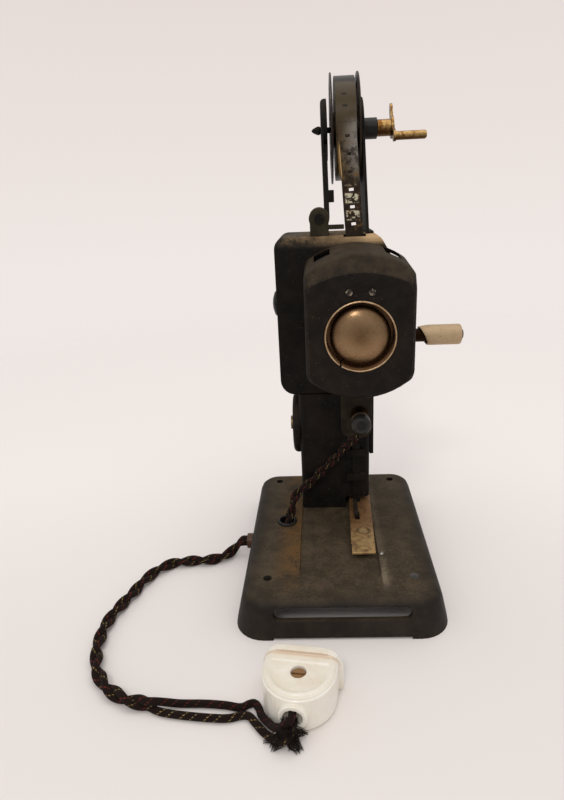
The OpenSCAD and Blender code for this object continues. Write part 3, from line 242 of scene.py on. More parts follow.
def old_paint(
    name, coat, dust, dusting, rusting=0.2, rough=0.52, grain=1.1, bare=RUBBED, dust_and_highlight_drift=0.0, reach=(0.1, 0.85),
):
    """Stoved black paint: grain, dust on what faces up, worn edges and a few chips. With a lean along X, the dust
    lies thicker and lighter towards +X, partly as a painted highlight.
    """
    f = Finish(name, Specular_IOR_Level=0.13)
    broad = f.noise(0.045, 4, 0.6)
    cloud = f.noise(0.16, 5, 0.62)
    fine = f.noise(grain, 4, 0.65)
    grit = f.noise(5.5, 2, 0.6)
    base = f.tint(f.ease(cloud, 0.35, 0.7), scaled(coat, 0.7), scaled(coat, 1.4))
    share = f.ease(cloud * 0.7 + fine * 0.4 + f.along("X") * dust_and_highlight_drift, 0.22, 0.75)
    lying = f.ease(f.facing("Z"), *reach) * share * dusting
    # Painted highlight: towards +X the dust grows lighter, partly real dust and partly a painted highlight on the
    # side the light falls on.
    dust_and_highlight_heap = f.tint(f.ease(f.along("X") * dust_and_highlight_drift, 0.09, 0.2), dust, scaled(dust, 1.9)) if dust_and_highlight_drift else dust
    base = f.tint(lying, base, dust_and_highlight_heap)
    rusty = f.ease(broad + fine * 0.25, 0.6, 0.82) * rusting
    base = f.tint(rusty, base, RUST)
    rubbed = f.ease(f.edges() * 0.9 + fine * 0.7, 0.92, 1.25)
    base = f.tint(rubbed * 0.6, base, bare)
    chip = f.ease(f.cells(0.33) * -1 + fine * 0.25, 0.03, 0.075)
    base = f.tint(chip * 0.5, base, scaled(bare, 0.8))
    f.wear("Base Color", base)
    f.wear("Roughness", f.ease(fine, 0.2, 0.9) * 0.22 + lying * 0.25 + rough - rubbed * 0.15)
    f.relief(cloud, 0.22, f.relief(f.cells(grain * 1.6) * 0.5 + grit * 0.5, 0.05))
    return f.material


def base_paint():
    """The base's paint under dust: greyer in the channel, brown to its left, with a lighter line to its right that
    is partly dust and partly a painted highlight. Painted shade keeps its rounded shoulders and front edge darker,
    and its near screw holes carry painted light and shade.
    """
    f = Finish("base_paint", Specular_IOR_Level=0.13)
    cloud = f.noise(0.08, 5, 0.65)
    fine = f.noise(0.8, 5, 0.7)
    grit = f.noise(5, 2, 0.6)
    x, y = f.along("X"), f.along("Y")
    base = f.tint(f.ease(cloud, 0.35, 0.7), (0.015, 0.0115, 0.009), (0.027, 0.0205, 0.015))
    # Painted shade: less dust on the rounded side shoulders and towards the front edge, so that they stay darker.
    shoulder = f.ease(x.size(), 36, 49) * 0.75
    up = f.ease(f.facing("Z"), 0.5, 0.99) * (1 - shoulder) * (1 - f.ease(y * -1, 52, 66) * 0.45)
    dust = f.tint(f.ease(cloud * 0.6 + fine * 0.5, 0.4, 0.72), (0.036, 0.026, 0.0155), (0.082, 0.059, 0.035))
    beside = f.ease(x, -38, -24) * f.ease(x * -1, 20, 21.5) * f.ease(y, -66, -30)
    dust = f.tint(beside * f.ease(fine + cloud, 0.75, 1.15) * 0.9, dust, (0.125, 0.062, 0.018))
    # A lighter band on the top just right of the channel: partly dust, partly a painted highlight along the
    # channel's edge.
    line = f.band(x, 20.5, 21.6, 21.9, 26.5) * (f.ease(y * -1, 20, 44) * 0.6 + 0.4) * f.ease(y, -60, -50)
    dust = f.tint(line * f.ease(fine * 0.5 + cloud * 0.5, 0.3, 0.6) * 0.75, dust, (0.2, 0.16, 0.11))
    base = f.tint(up, base, dust)
    scratch = f.ease(f.noise(0.5, 2, 0.5, f.stretched(0.3, 2.2, 1)), 0.68, 0.72)
    base = f.tint(scratch * up * 0.35, base, (0.15, 0.115, 0.075))
    rubbed = f.ease(f.edges() * 0.9 + fine * 0.7, 0.95, 1.25)
    base = f.tint(rubbed * 0.5, base, RUBBED)
    # Painted light and shade in the near screw holes: the right one pale where the lit floor would show through,
    # the left one dark with painted shade.
    for across, bore in ((-HOLE_X, (0.07, 0.06, 0.05)), (HOLE_X, (0.62, 0.59, 0.57))):
        away = f.apart("XY", (across, HOLE_Y, 0))
        base = f.tint(1 - f.ease(away, HOLE_R - 0.1, HOLE_R + 0.05), base, bore)
    f.wear("Base Color", base)
    f.wear("Roughness", fine * 0.25 + up * 0.1 + 0.42)
    f.relief(cloud, 0.2, f.relief(f.cells(1.3) * 0.5 + grit * 0.5, 0.05))
    return f.material


def old_film():
    """Aged film: a dark top, a painted grey sheen, brown patches, and blurred light marks in two frames of the
    strip.
    """
    f = Finish("old_film", Specular_IOR_Level=0.16)
    x, z = f.along("X"), f.along("Z")
    cloud = f.noise(0.16, 4, 0.6)
    fine = f.noise(1.2, 4, 0.7)
    high = z + cloud * 14 - 7
    patch = f.noise(0.24, 4, 0.7)
    base = f.tint(f.ease(high, 206, 214), (0.027, 0.017, 0.0095), (0.062, 0.042, 0.02))
    # Painted sheen: a pale grey band across the roll, strongest towards its right.
    base = f.tint(f.band(high, 206, 224, 231, 240) * f.ease(x, 5, 15), base, (0.235, 0.215, 0.19))
    base = f.tint(f.ease(patch, 0.48, 0.6) * (1 - f.ease(z, 224, 236)) * 0.8, base, (0.018, 0.008, 0.004))
    base = f.tint(f.ease(patch * -1, -0.45, -0.36) * (1 - f.ease(z, 222, 236)) * 0.7, base, (0.16, 0.08, 0.025))
    base = f.tint(f.ease(fine * -1, -0.36, -0.3) * 0.35, base, (0.2, 0.19, 0.15))
    off = x - FILM_X + (z - FILM_Z) * FILM_LEAN
    front = f.ease(f.facing("Y") * -1, 0, 0.1)
    for level in ROLL_HOLES:
        slit = (1 - f.ease((z - level).size(), 0.4, 0.7)) * (1 - f.ease(off.size(), 1.1, 1.5)) * front
        base = f.tint(slit * 0.9, base, (0.009, 0.005, 0.004))
    base = f.tint(f.ease(z + fine * 1.5, 255.6, 257) * front * 0.85, base, (0.012, 0.006, 0.006))
    rim = f.band(off * -1, 4.1, 4.4, 5, 5.4) * f.band(z, 208, 212, 222, 228)
    base = f.tint(rim * 0.8, base, (0.62, 0.4, 0.17))
    step = ((z - STRIP_HOLE) / FRAME_PITCH).fraction()
    inside = f.band(step, 0.17, 0.27, 0.73, 0.83) * (1 - f.ease(off.size(), 2.9, 3.9))
    inside = inside * f.band(z, 185, 187, 203, 207)
    mark = f.ease(f.noise(0.5, 3, 0.6), 0.47, 0.56)
    base = f.tint(inside * mark, base, (0.62, 0.56, 0.4))
    f.wear("Base Color", base)
    f.wear("Roughness", fine * 0.2 + 0.2)
    f.relief(f.noise(0.5, 3, 0.6), 0.06)
    return f.material


def old_metal(
    name, bright, dull, stain, rough, grain=(0.2, 0.2, 0.2), dirt=0.5, metal=1.0, under=0.0, blotch=(0.3, 0.72),
):
    """Worn brass, nickel or steel: brushed grain, clouded tarnish, spots and rubbed edges, with painted shade from
    the under share: a darker underside and a duller top.
    """
    f = Finish(name, Metallic=metal)
    cloud = f.noise(0.22, 5, 0.62)
    fine = f.noise(1.6, 4, 0.65)
    lines = f.noise(2.4, 3, 0.6, f.stretched(*grain))
    base = f.tint(f.ease(cloud, *blotch), bright, dull)
    base = f.tint(f.ease(lines, 0.45, 0.8) * 0.35, base, scaled(dull, 0.6))
    spot = f.ease(f.cells(0.55) * -1 + fine * 0.5, 0.02, 0.14) * 0.5
    base = f.tint(spot, base, stain)
    grime = f.ease(cloud * -1 + fine * 0.4, -0.38, -0.08) * dirt
    base = f.tint(grime, base, stain)
    # Painted shade by facing: darker on faces turned down, duller on faces turned straight up.
    base = f.tint(f.ease(f.facing("Z") * -1 + cloud * 0.9, 0.25, 0.95) * under, base, scaled(stain, 0.7))
    base = f.tint(f.ease(f.facing("Z"), 0.7, 1) * under * 0.6, base, scaled(dull, 0.8))
    base = f.tint(f.ease(f.edges() + fine * 0.4, 0.7, 1.2) * 0.6, base, scaled(bright, 1.25))
    f.wear("Base Color", base)
    f.wear("Roughness", fine * 0.2 + grime * 0.25 + spot * 0.2 + rough - 0.08)
    f.relief(fine, 0.03, f.relief(lines, 0.02))
    return f.material


def moulded(name, colour, bloom):
    """Old bakelite: a faint swirl, a dusty bloom and small scratches."""
    f = Finish(name, Specular_IOR_Level=0.25)
    swirl = f.noise(0.3, 5, 0.6)
    fine = f.noise(2.2, 4, 0.6)
    scratch = f.ease(f.noise(1.4, 2, 0.5, f.stretched(0.35, 3.5, 3.5)), 0.66, 0.72)
    base = f.tint(f.ease(swirl, 0.35, 0.7), colour, scaled(colour, 1.9))
    base = f.tint(f.ease(f.facing("Z"), 0.0, 0.9) * fine * 0.8, base, bloom)
    base = f.tint(f.ease(f.edges() + fine * 0.4, 0.75, 1.2) * 0.5, base, scaled(bloom, 1.3))
    f.wear("Base Color", base)
    f.wear("Roughness", swirl * 0.2 + scratch * 0.2 + 0.3)
    f.relief(fine + scratch * 0.5, 0.03)
    return f.material


def glazed():
    """Ivory porcelain under glaze: faint mottling, warmer where the glaze lies thick, painted shade in the groove
    under the flange, and pin marks.
    """
    f = Finish("ivory_porcelain", Coat_Roughness=0.12, Coat_Weight=0.3, Specular_IOR_Level=0.45)
    cloud = f.noise(0.11, 4, 0.55)
    fine = f.noise(1.1, 4, 0.6)
    base = f.tint(f.ease(cloud, 0.3, 0.75), (0.88, 0.84, 0.76), (0.84, 0.78, 0.67))
    flat = f.ease(f.facing("Z"), 0.8, 1.0)
    base = f.tint(flat * f.ease(fine * 0.25 + cloud * 0.75, 0.2, 0.65) * 0.7, base, (0.74, 0.645, 0.5))
    low = f.ease(f.along("Z") * -0.12 + fine * 0.5, -0.35, 0.35)
    base = f.tint(low * 0.3, base, (0.66, 0.59, 0.47))
    back = f.along("X") * FLANGE_WAY[0] + f.along("Y") * FLANGE_WAY[1] + FLANGE_AWAY
    # Painted shade in the groove under the flange.
    groove = f.band(back, -5.4, -3.9, -3.3, -3.1) * f.ease(f.along("Z"), 12, 17)
    base = f.tint(groove * 0.75, base, (0.62, 0.44, 0.29))
    mark = f.ease(f.cells(0.28) * -1 + fine * 0.12, 0.0, 0.03)
    base = f.tint(mark * 0.7, base, (0.3, 0.22, 0.14))
    f.wear("Base Color", base)
    f.wear("Roughness", fine * 0.16 + mark * 0.2 + 0.24)
    f.relief(cloud * 0.8 + fine * 0.2, 0.25)
    return f.material


def ring_brass():
    """A turned brass ring: rubbed bright at its lip; further in, painted light and shade, brown where the inside
    faces up, as on its floor, and dark where it faces down.
    """
    f = Finish("ring_brass")
    cloud = f.noise(0.25, 5, 0.6)
    fine = f.noise(1.6, 4, 0.65)
    deep = f.ease(f.along("Y") + fine * 0.8, -14.1, -11.5)
    lip = f.tint(f.ease(cloud + fine * 0.3, 0.45, 0.85), (0.6, 0.42, 0.26), (0.4, 0.25, 0.13))
    # Painted light and shade inside the ring: lighter where it faces up, darker where it faces down.
    bore = f.tint(f.ease(f.facing("Z"), 0.1, 0.8), (0.06, 0.03, 0.013), (0.36, 0.17, 0.075))
    f.wear("Base Color", f.tint(deep, lip, bore))
    f.wear("Metallic", deep * -0.75 + 0.85)
    f.wear("Roughness", fine * 0.2 + 0.28)
    f.relief(fine, 0.03)
    return f.material


def rusty_screw():
    """A screw head gone nearly black, with bright flecks where the plating is left."""
    f = Finish("rusty_screw", Metallic=0.4)
    fine = f.noise(2.2, 3, 0.6)
    patch = f.noise(0.55, 3, 0.6)
    base = f.tint(fine, (0.007, 0.005, 0.004), (0.026, 0.017, 0.011))
    base = f.tint(f.ease(patch + fine * 0.3, 0.66, 0.74), base, (0.27, 0.21, 0.15))
    f.wear("Base Color", base)
    f.wear("Roughness", fine * 0.25 + 0.4)
    f.relief(fine, 0.05)
    return f.material


def leaf_brass():
    """The spring leaf: reddish at its root, golden and rubbed towards its free end, with a dark round mark."""
    f = Finish("leaf_brass", Metallic=0.45)
    cloud = f.noise(0.3, 5, 0.65)
    fine = f.noise(1.7, 4, 0.65)
    near = f.ease(f.along("Y") * -1 + cloud * 14, 6, 26)
    base = f.tint(near, (0.25, 0.125, 0.05), (0.45, 0.285, 0.12))
    base = f.tint(f.ease(cloud + fine * 0.4, 0.62, 0.86) * 0.75, base, (0.11, 0.055, 0.022))
    away = f.apart("XY", (MARK_X, MARK_Y, 0))
    base = f.tint(f.band(away, 2.5, 3.1, 3.7, 4.4) * 0.75, base, (0.09, 0.045, 0.02))
    base = f.tint((1 - f.ease(away, 1.2, 2.6)) * 0.4, base, (0.56, 0.42, 0.2))
    base = f.tint(f.ease(f.edges() + fine * 0.4, 0.7, 1.2) * 0.7, base, (0.6, 0.44, 0.22))
    f.wear("Base Color", base)
    f.wear("Roughness", fine * 0.2 + 0.34)
    f.relief(cloud, 0.06, f.relief(fine, 0.03))
    return f.material


def plug_shell():
    """The lamp's plug: a grimy threaded collar behind with painted light on its ridges where they face up, a black
    ring, and a dark grey cap with a darker mouth and edges lightened partly by wear and partly as a painted
    highlight.
    """
    f = Finish("plug_shell", Specular_IOR_Level=0.25)
    fine = f.noise(2, 4, 0.6)
    y = f.along("Y")
    turn = (y * 0.8).fraction()
    ridge = f.band(turn, 0.05, 0.5, 0.5, 0.95)
    # Painted light on the thread: the ridges are lighter where they face up.
    collar = f.tint(ridge * f.ease(f.facing("Z"), -0.5, 0.7), (0.02, 0.012, 0.007), (0.26, 0.17, 0.085))
    cap = f.tint(fine, (0.012, 0.0105, 0.009), (0.034, 0.03, 0.026))
    away = f.apart("XZ", (LAMP_X, 0, LAMP_Z))
    cap = f.tint((1 - f.ease(away, 2.9, 3.5)) * 0.8, cap, (0.004, 0.0035, 0.003))
    # Lighter bevelled edges on the cap: partly wear, partly a painted highlight of its rim.
    cap = f.tint(f.ease(f.edges() + fine * 0.4, 0.7, 1.1) * 0.7, cap, (0.1, 0.09, 0.08))
    behind = f.ease(y, 7.2, 7.6)
    f.wear("Base Color", f.tint(behind, cap, collar))
    f.wear("Roughness", fine * 0.2 + 0.32)
    f.relief(ridge * behind, 0.5, f.relief(fine, 0.03))
    return f.material


def clear_glass():
    """Old clear glass with a thin veil of dust."""
    f = Finish("old_glass", Transmission_Weight=1.0, IOR=1.5)
    veil = f.noise(0.9, 4, 0.6)
    f.wear("Base Color", f.tint(f.ease(veil, 0.4, 0.8) * 0.25, (0.93, 0.95, 0.94), (0.62, 0.6, 0.55)))
    f.wear("Roughness", f.ease(veil, 0.45, 0.8) * 0.12 + 0.02)
    f.relief(veil, 0.01)
    return f.material


# Plaited cotton: strands each way round, the share of the turn that one coloured thread takes, and the yarn
CARRIERS = 9
TRACER = 0.07
DARK_YARN, PALE_YARN = (0.011, 0.0055, 0.004), (0.023, 0.012, 0.009)


def plaited(name, first, second):
    """A cotton braid on the cord's own map: crossing yarns, fuzz and two coloured threads."""
    f = Finish(name, Specular_IOR_Level=0.08, Sheen_Weight=0.03, Sheen_Roughness=0.5)
    uv = f.add("ShaderNodeTexCoord", out="UV")
    round_it, onward = f.along("X", uv), f.along("Y", uv)

    def wave(value):
        return (value * (2 * math.pi)).sine() * 0.5 + 0.5

    rising, falling = (round_it + onward) * CARRIERS, (round_it - onward) * CARRIERS
    over = f.ease(wave((rising + falling) * 0.5), 0.42, 0.58)
    yarn = f.add("ShaderNodeMix", {"data_type": "FLOAT"}, over, None, wave(falling), wave(rising))
    fuzz = f.noise(6.0, 3, 0.7)
    cloud = f.noise(0.35, 3, 0.6)
    base = f.tint(yarn * 0.6 + fuzz * 0.4, scaled(DARK_YARN, 0.5), PALE_YARN)
    base = f.tint(f.ease(cloud, 0.4, 0.75) * 0.6, base, DARK_YARN)
    clean = f.ease(f.along("Y"), -122, -98) * 0.45 + 0.55

    def thread(phase, colour, under, shown):
        turn = (round_it + onward + phase).fraction()
        line = f.ease(turn * -1 + TRACER, 0.0, 0.012)
        return f.tint(line * shown * f.ease(yarn, 0.1, 0.4) * clean, under, colour)

    base = thread(0.18, first, base, over)
    base = thread(0.63, second, base, 1 - over)
    f.wear("Base Color", base)
    f.wear("Roughness", fuzz * 0.15 + 0.78)
    f.relief(yarn, 0.22, f.relief(fuzz, 0.08))
    return f.material


BLACK = old_paint("black_paint", (0.0075, 0.0058, 0.0045), (0.04, 0.028, 0.018), dusting=0.6, rusting=0.12)
HOUSE = old_paint(
    "house_paint", (0.0095, 0.0068, 0.005), (0.06, 0.042, 0.025), dusting=1.0, rusting=0.15, grain=0.9,
)
# The head's dust lightens towards +X, partly as a painted highlight.
HEAD = old_paint("head_paint", (0.0065, 0.0048, 0.0036), (0.29, 0.19, 0.1), dusting=1.0, rusting=0.1, dust_and_highlight_drift=0.009)
BASE = base_paint()
GREY = old_paint("grey_paint", (0.03, 0.022, 0.014), (0.06, 0.046, 0.03), dusting=0.5, bare=(0.34, 0.3, 0.25))
OLIVE = old_paint("dusty_paint", (0.022, 0.017, 0.01), (0.1, 0.08, 0.045), dusting=0.9, reach=(-0.3, 0.6))
SHEET = old_paint("matt_sheet", (0.012, 0.011, 0.01), (0.04, 0.034, 0.028), dusting=0.3, rough=0.7)
ENAMEL = old_paint(
    "reel_enamel", (0.02, 0.011, 0.0065), (0.06, 0.042, 0.028), dusting=0.4, rough=0.26, bare=(0.26, 0.2, 0.13),
)
# This brass carries painted shade: a darker underside and a duller top.
BRASS = old_metal(
    "worn_brass", (0.66, 0.43, 0.17), (0.2, 0.09, 0.024), (0.07, 0.032, 0.011), rough=0.25, under=0.9,
    blotch=(0.4, 0.58),
)
DULL_BRASS = old_metal("dull_brass", (0.36, 0.24, 0.13), (0.22, 0.14, 0.07), (0.06, 0.035, 0.018), rough=0.42)
LEAF = leaf_brass()
COPPER = old_metal(
    "spring_copper", (0.36, 0.21, 0.085), (0.24, 0.12, 0.048), (0.09, 0.045, 0.02), rough=0.42, metal=0.45,
)
RING = ring_brass()
GRIMY = old_metal("grimy_brass", (0.03, 0.015, 0.006), (0.012, 0.005, 0.002), (0.005, 0.003, 0.0015), rough=0.5)
SCREW = rusty_screw()
NICKEL = old_metal(
    "yellowed_nickel", (0.58, 0.42, 0.26), (0.5, 0.36, 0.21), (0.24, 0.15, 0.07), rough=0.55, grain=(0.08, 1, 1),
    dirt=0.25, metal=0.45,
)
STEEL = old_metal("dull_steel", (0.45, 0.43, 0.39), (0.3, 0.27, 0.24), (0.1, 0.07, 0.045), rough=0.38)
BAKELITE = moulded("black_bakelite", (0.006, 0.005, 0.0045), (0.022, 0.018, 0.013))
SHELL = plug_shell()
BROWN = moulded("brown_bakelite", (0.05, 0.02, 0.009), (0.1, 0.06, 0.035))
GLASS = clear_glass()
PORCELAIN = glazed()
COTTON = plaited("plaited_cotton", (0.66, 0.45, 0.16), (0.34, 0.05, 0.03))
YELLOW_COTTON = plaited("yellow_marked_cotton", (0.8, 0.6, 0.26), (0.66, 0.45, 0.16))
RED_COTTON = plaited("red_marked_cotton", (0.36, 0.06, 0.04), (0.3, 0.035, 0.03))
FILM = old_film()


# SHAPES


def piece_of(shape, name, body, finish, crease=35):
    """Turn a finished bmesh in millimetres into a piece that rides on a body."""
    bmesh.ops.scale(shape, vec=(MM, MM, MM), verts=shape.verts)
    for face in shape.faces:
        face.smooth = True
    for edge in shape.edges:
        edge.smooth = len(edge.link_faces) != 2 or edge.calc_face_angle(0) < math.radians(crease)
    mesh = bpy.data.meshes.new(name)
    shape.to_mesh(mesh)
    shape.free()
    mesh.materials.append(finish)
    piece = bpy.data.objects.new(name, mesh)
    scene.collection.objects.link(piece)
    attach(piece, body)
    return piece


def rounded_edges(shape, width, angle=30):
    """Bevel the sharp edges of a bmesh in millimetres and mark the middle of each as worn."""
    worn = shape.verts.layers.float.get(WEAR) or shape.verts.layers.float.new(WEAR)
    sharp = [e for e in shape.edges if len(e.link_faces) == 2 and e.calc_face_angle(0) > math.radians(angle)]
    made = bmesh.ops.bevel(
        shape, geom=sharp, offset=width, offset_type="OFFSET", segments=2, profile=0.5,
        affect="EDGES", clamp_overlap=True, material=-1,
    )
    strips = set(made["faces"])
    for face in strips:
        for vert in face.verts:
            if all(f in strips for f in vert.link_faces):
                vert[worn] = 1.0


BODY_OF = {node: body for body, nodes in frame["record"]["behaviour"]["bodies"].items() for node in nodes}


def merged_copy(node):
    """A CAD node as a bmesh in millimetres, with its doubles merged and its flats joined."""
    shape = bmesh.new()
    shape.from_mesh(frame["nodes"][node].data)
    bmesh.ops.scale(shape, vec=(1 / MM,) * 3, verts=shape.verts)
    bmesh.ops.remove_doubles(shape, verts=shape.verts, dist=0.003)
    bmesh.ops.dissolve_limit(shape, angle_limit=math.radians(0.4), verts=shape.verts, edges=shape.edges)
    return shape


def lit_evenly(piece):
    """Let the large faces set the shading, so that rounded edges don't darken the flats beside them."""
    even = piece.modifiers.new("even light", "WEIGHTED_NORMAL")
    even.keep_sharp = True


def dressed(node, finish, edge):
    """A copy of a CAD node with its edges rounded by that width in millimetres, in its place."""
    shape = merged_copy(node)
    if edge:
        rounded_edges(shape, edge)
    piece = piece_of(shape, "shown_" + node, BODY_OF[node], finish)
    lit_evenly(piece)
    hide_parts(node)
    return piece


# CORDS


FINE_STEPS = 30


def curve_through(points, gap):
    """Points a gap apart, in millimetres, on the smooth curve through the given ones."""
    ends = [Vector(p) for p in (points[0], *points, points[-1])]
    fine = []
    for before, start, end, after in zip(ends, ends[1:], ends[2:], ends[3:]):
        for step in range(FINE_STEPS):
            t = step / FINE_STEPS
            fine.append(0.5 * (
                2 * start + (end - before) * t + (2 * before - 5 * start + 4 * end - after) * t**2
                + (3 * start - before - 3 * end + after) * t**3
            ))
    fine.append(ends[-1])
    run = [0.0]
    for a, b in zip(fine, fine[1:]):
        run.append(run[-1] + (b - a).length)
    count = max(2, round(run[-1] / gap))
    line, at = [], 0
    for i in range(count + 1):
        want = run[-1] * i / count
        while at < len(run) - 2 and run[at + 1] < want:
            at += 1
        span = run[at + 1] - run[at]
        line.append(fine[at].lerp(fine[at + 1], (want - run[at]) / span if span else 0))
    return line


def ways(line):
    return [(b - a).normalized() for a, b in zip([line[0], *line[:-1]], [*line[1:], line[-1]])]


def length_of(line):
    return sum((b - a).length for a, b in zip(line, line[1:]))


def sweep(shape, line, radius, sides):
    """Draw a round strand along a line by extruding a circle, with its own map round and onward."""
    uv = shape.loops.layers.uv.get("UVMap") or shape.loops.layers.uv.new("UVMap")
    across = ways(line)[0].orthogonal().normalized()
    ring = bmesh.ops.create_circle(shape, cap_ends=False, radius=1, segments=sides)["verts"]
    turns = [math.atan2(v.co.y, v.co.x) for v in ring]
    edges = list(dict.fromkeys(e for v in ring for e in v.link_edges))
    onward, last = 0.0, None
    bottom = ring
    for index, (point, way) in enumerate(zip(line, ways(line))):
        across = (across - way * across.dot(way)).normalized()
        up = way.cross(across)
        size = radius(index / (len(line) - 1)) if callable(radius) else radius
        before = onward
        if last is not None:
            onward += (point - last).length / (2 * math.pi * size if size > 0.2 else 1)
            made = bmesh.ops.extrude_edge_only(shape, edges=edges)["geom"]
            new = [g for g in made if isinstance(g, bmesh.types.BMVert)]
            walls = [g for g in made if isinstance(g, bmesh.types.BMFace)]
            match = {}
            for wall in walls:
                for edge in wall.edges:
                    a, b = edge.verts
                    if (a in new) != (b in new):
                        match[b if a in new else a] = a if a in new else b
            place = {v: k for k, v in enumerate(ring)}
            above = [match[v] for v in ring]
            place_above = {v: k for k, v in enumerate(above)}
            for wall in walls:
                sides_here = [place.get(lp.vert, place_above.get(lp.vert)) for lp in wall.loops]
                wraps = max(sides_here) - min(sides_here) > 1
                for loop, side in zip(wall.loops, sides_here):
                    turn = side + sides if wraps and side == 0 else side
                    loop[uv].uv = (turn / sides, onward if loop.vert in place_above else before)
            ring = above
            made_edges = [g for g in made if isinstance(g, bmesh.types.BMEdge)]
            edges = [e for e in made_edges if all(v in place_above for v in e.verts)]
        for vert, turn in zip(ring, turns):
            vert.co = point + (across * math.cos(turn) + up * math.sin(turn)) * size
        last = point
    for end in (bottom, ring):
        bmesh.ops.contextual_create(shape, geom=end)


def twisted_pair(line, turns, spread):
    """The two strand lines that turn about a line, one above the other at its end."""
    total, run, pair = length_of(line), 0.0, ([], [])
    for index, (point, way) in enumerate(zip(line, ways(line))):
        if index:
            run += (point - line[index - 1]).length
        upright = Vector((0, 0, 1)) if abs(way.z) < 0.8 else Vector((0, 1, 0))
        up = (upright - way * upright.dot(way)).normalized()
        side = way.cross(up)
        share = run / total
        turn = 2 * math.pi * turns * (share - 1) + 0.5 * math.sin(9 * share) * (1 - share)
        offset = (up * math.cos(turn) + side * math.sin(turn)) * spread
        pair[0].append(point + offset)
        pair[1].append(point - offset)
    return pair


def in_metres(line):
    return [tuple(p * MM) for p in line]


# The cords in millimetres: each strand's radius and how far it turns from the pair's middle, the full turns of
# each pair, the gap between the points of a line, and how far before the fork a free strand's curve begins
STRAND, SPREAD, CORD_TURNS = 1.6, 1.45, 7
LEAD_STRAND, LEAD_SPREAD, LEAD_TURNS = 1.4, 1.35, 5.5
POINT_GAP = 0.9
POINTS_BACK = 8
STRAND_SIDES = 12
CORD_ROUTE = [
    (-53.2, -1, 10.4), (-56, -0.8, 10.2), (-58.6, -0.4, 8.4), (-61.2, -1.2, 5.6), (-64.5, -4, 3.8),
    (-68.5, -6.8, 3.2), (-74, -8.8, 3.2), (-85, -9.8, 3.2), (-95, -11.4, 3.2), (-102.5, -16.9, 3.2),
    (-108, -26, 3.2), (-112, -38.5, 3.2), (-116, -50, 3.2), (-118, -60, 3.2), (-117.6, -71, 3.2),
    (-115.6, -80.5, 3.2), (-110.5, -92, 3.2), (-102.5, -100.5, 3.2), (-93.5, -105.6, 3.2), (-84, -108, 3.2),
]
FAR_ROUTE = [
    (-80, -108.3, 4.8), (-76.5, -107.4, 3.4), (-70, -106.6, 1.6), (-60, -106.8, 1.6), (-51.2, -107.6, 1.6),
    (-44.4, -108.8, 1.6), (-41, -107.2, 1.6), (-38.6, -106.8, 1.6), (-36.7, -109.2, 1.6), (-35.1, -113, 1.8),
    (-31.8, -117.4, 2.8), (-29.4, -120.6, 4.6), (-26.6, -123.2, 7.4), (-24, -123.8, 10.2), (-22.2, -122.6, 11.4),
    (-21.8, -119.8, 11.4),
]
NEAR_ROUTE = [
    (-77, -110.8, 1.6), (-64, -112.9, 1.6), (-50.2, -114, 1.6), (-43.6, -112.7, 1.6),
    (-40.4, -113, 1.6), (-37.3, -116.3, 1.6), (-33.9, -120.2, 1.6), (-30.4, -123, 1.8), (-27, -125.4, 2.8),
    (-23.6, -126.2, 5.2), (-21.8, -123.4, 7.7), (-21.5, -119.8, 7.7),
]
LEAD_ROUTE = [
    (13.2, 7.4, 74.7), (12.6, 7.8, 72.6), (10.9, 9.4, 69.9), (7.7, 12.5, 66.3), (3.1, 15.5, 59.1),
    (-1.7, 17.6, 52.5), (-7.4, 18, 46.7), (-13.2, 17.8, 40.6), (-17.7, 17, 36.6), (-21, 15, 35.1),
    (-23.5, 12, 33.7), (-25.2, 9.4, 31.6), (-26.2, 7.4, 28.7), (-26.9, 6.2, 24.9), (-28.7, 5.6, 21.4),
    (-29.3, 5.3, 18.6), (-29.7, 5.1, 15), (-30.6, 4.6, 12.6), (-33, 3.4, 10.9), (-36.5, 1.6, 10.4),
    (-40, 0.6, 10.4), (-46, -1, 10.4), (-50, -1, 10.4),
]


def cord_piece(name, lines, radius, replaced, cotton):
    shape = bmesh.new()
    for line in lines:
        sweep(shape, line, radius, STRAND_SIDES)
    bmesh.ops.recalc_face_normals(shape, faces=shape.faces)
    piece = piece_of(shape, name, "frame", cotton, 60)
    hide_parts(replaced)
    return piece


def lay_cords():
    """The twisted cord from the base, its two strands up to the plug, and the lamp's lead."""
    middle = curve_through(CORD_ROUTE, POINT_GAP)
    pair = twisted_pair(middle, CORD_TURNS, SPREAD)
    cord = cord_piece("twisted_cord", pair, STRAND, "power_cord", COTTON)
    strands = []
    for name, route, start, cotton in (
        ("far_strand", FAR_ROUTE, pair[0], RED_COTTON),
        ("near_strand", NEAR_ROUTE, pair[1], YELLOW_COTTON),
    ):
        line = curve_through([start[-POINTS_BACK], start[-1], *route], POINT_GAP)
        strands.append((cord_piece(name, [line], STRAND, "cord_strands", cotton), line))
    lead_line = curve_through(LEAD_ROUTE, POINT_GAP)
    lead_pair = twisted_pair(lead_line, LEAD_TURNS, LEAD_SPREAD)
    lead = cord_piece("lamp_cord", lead_pair, LEAD_STRAND, "lamp_lead", COTTON)
    return cord, middle, strands, lead, lead_line


cord, cord_line, strands, lead, lead_line = lay_cords()


# PIECES FROM THE CAD, WITH SOFTENED EDGES

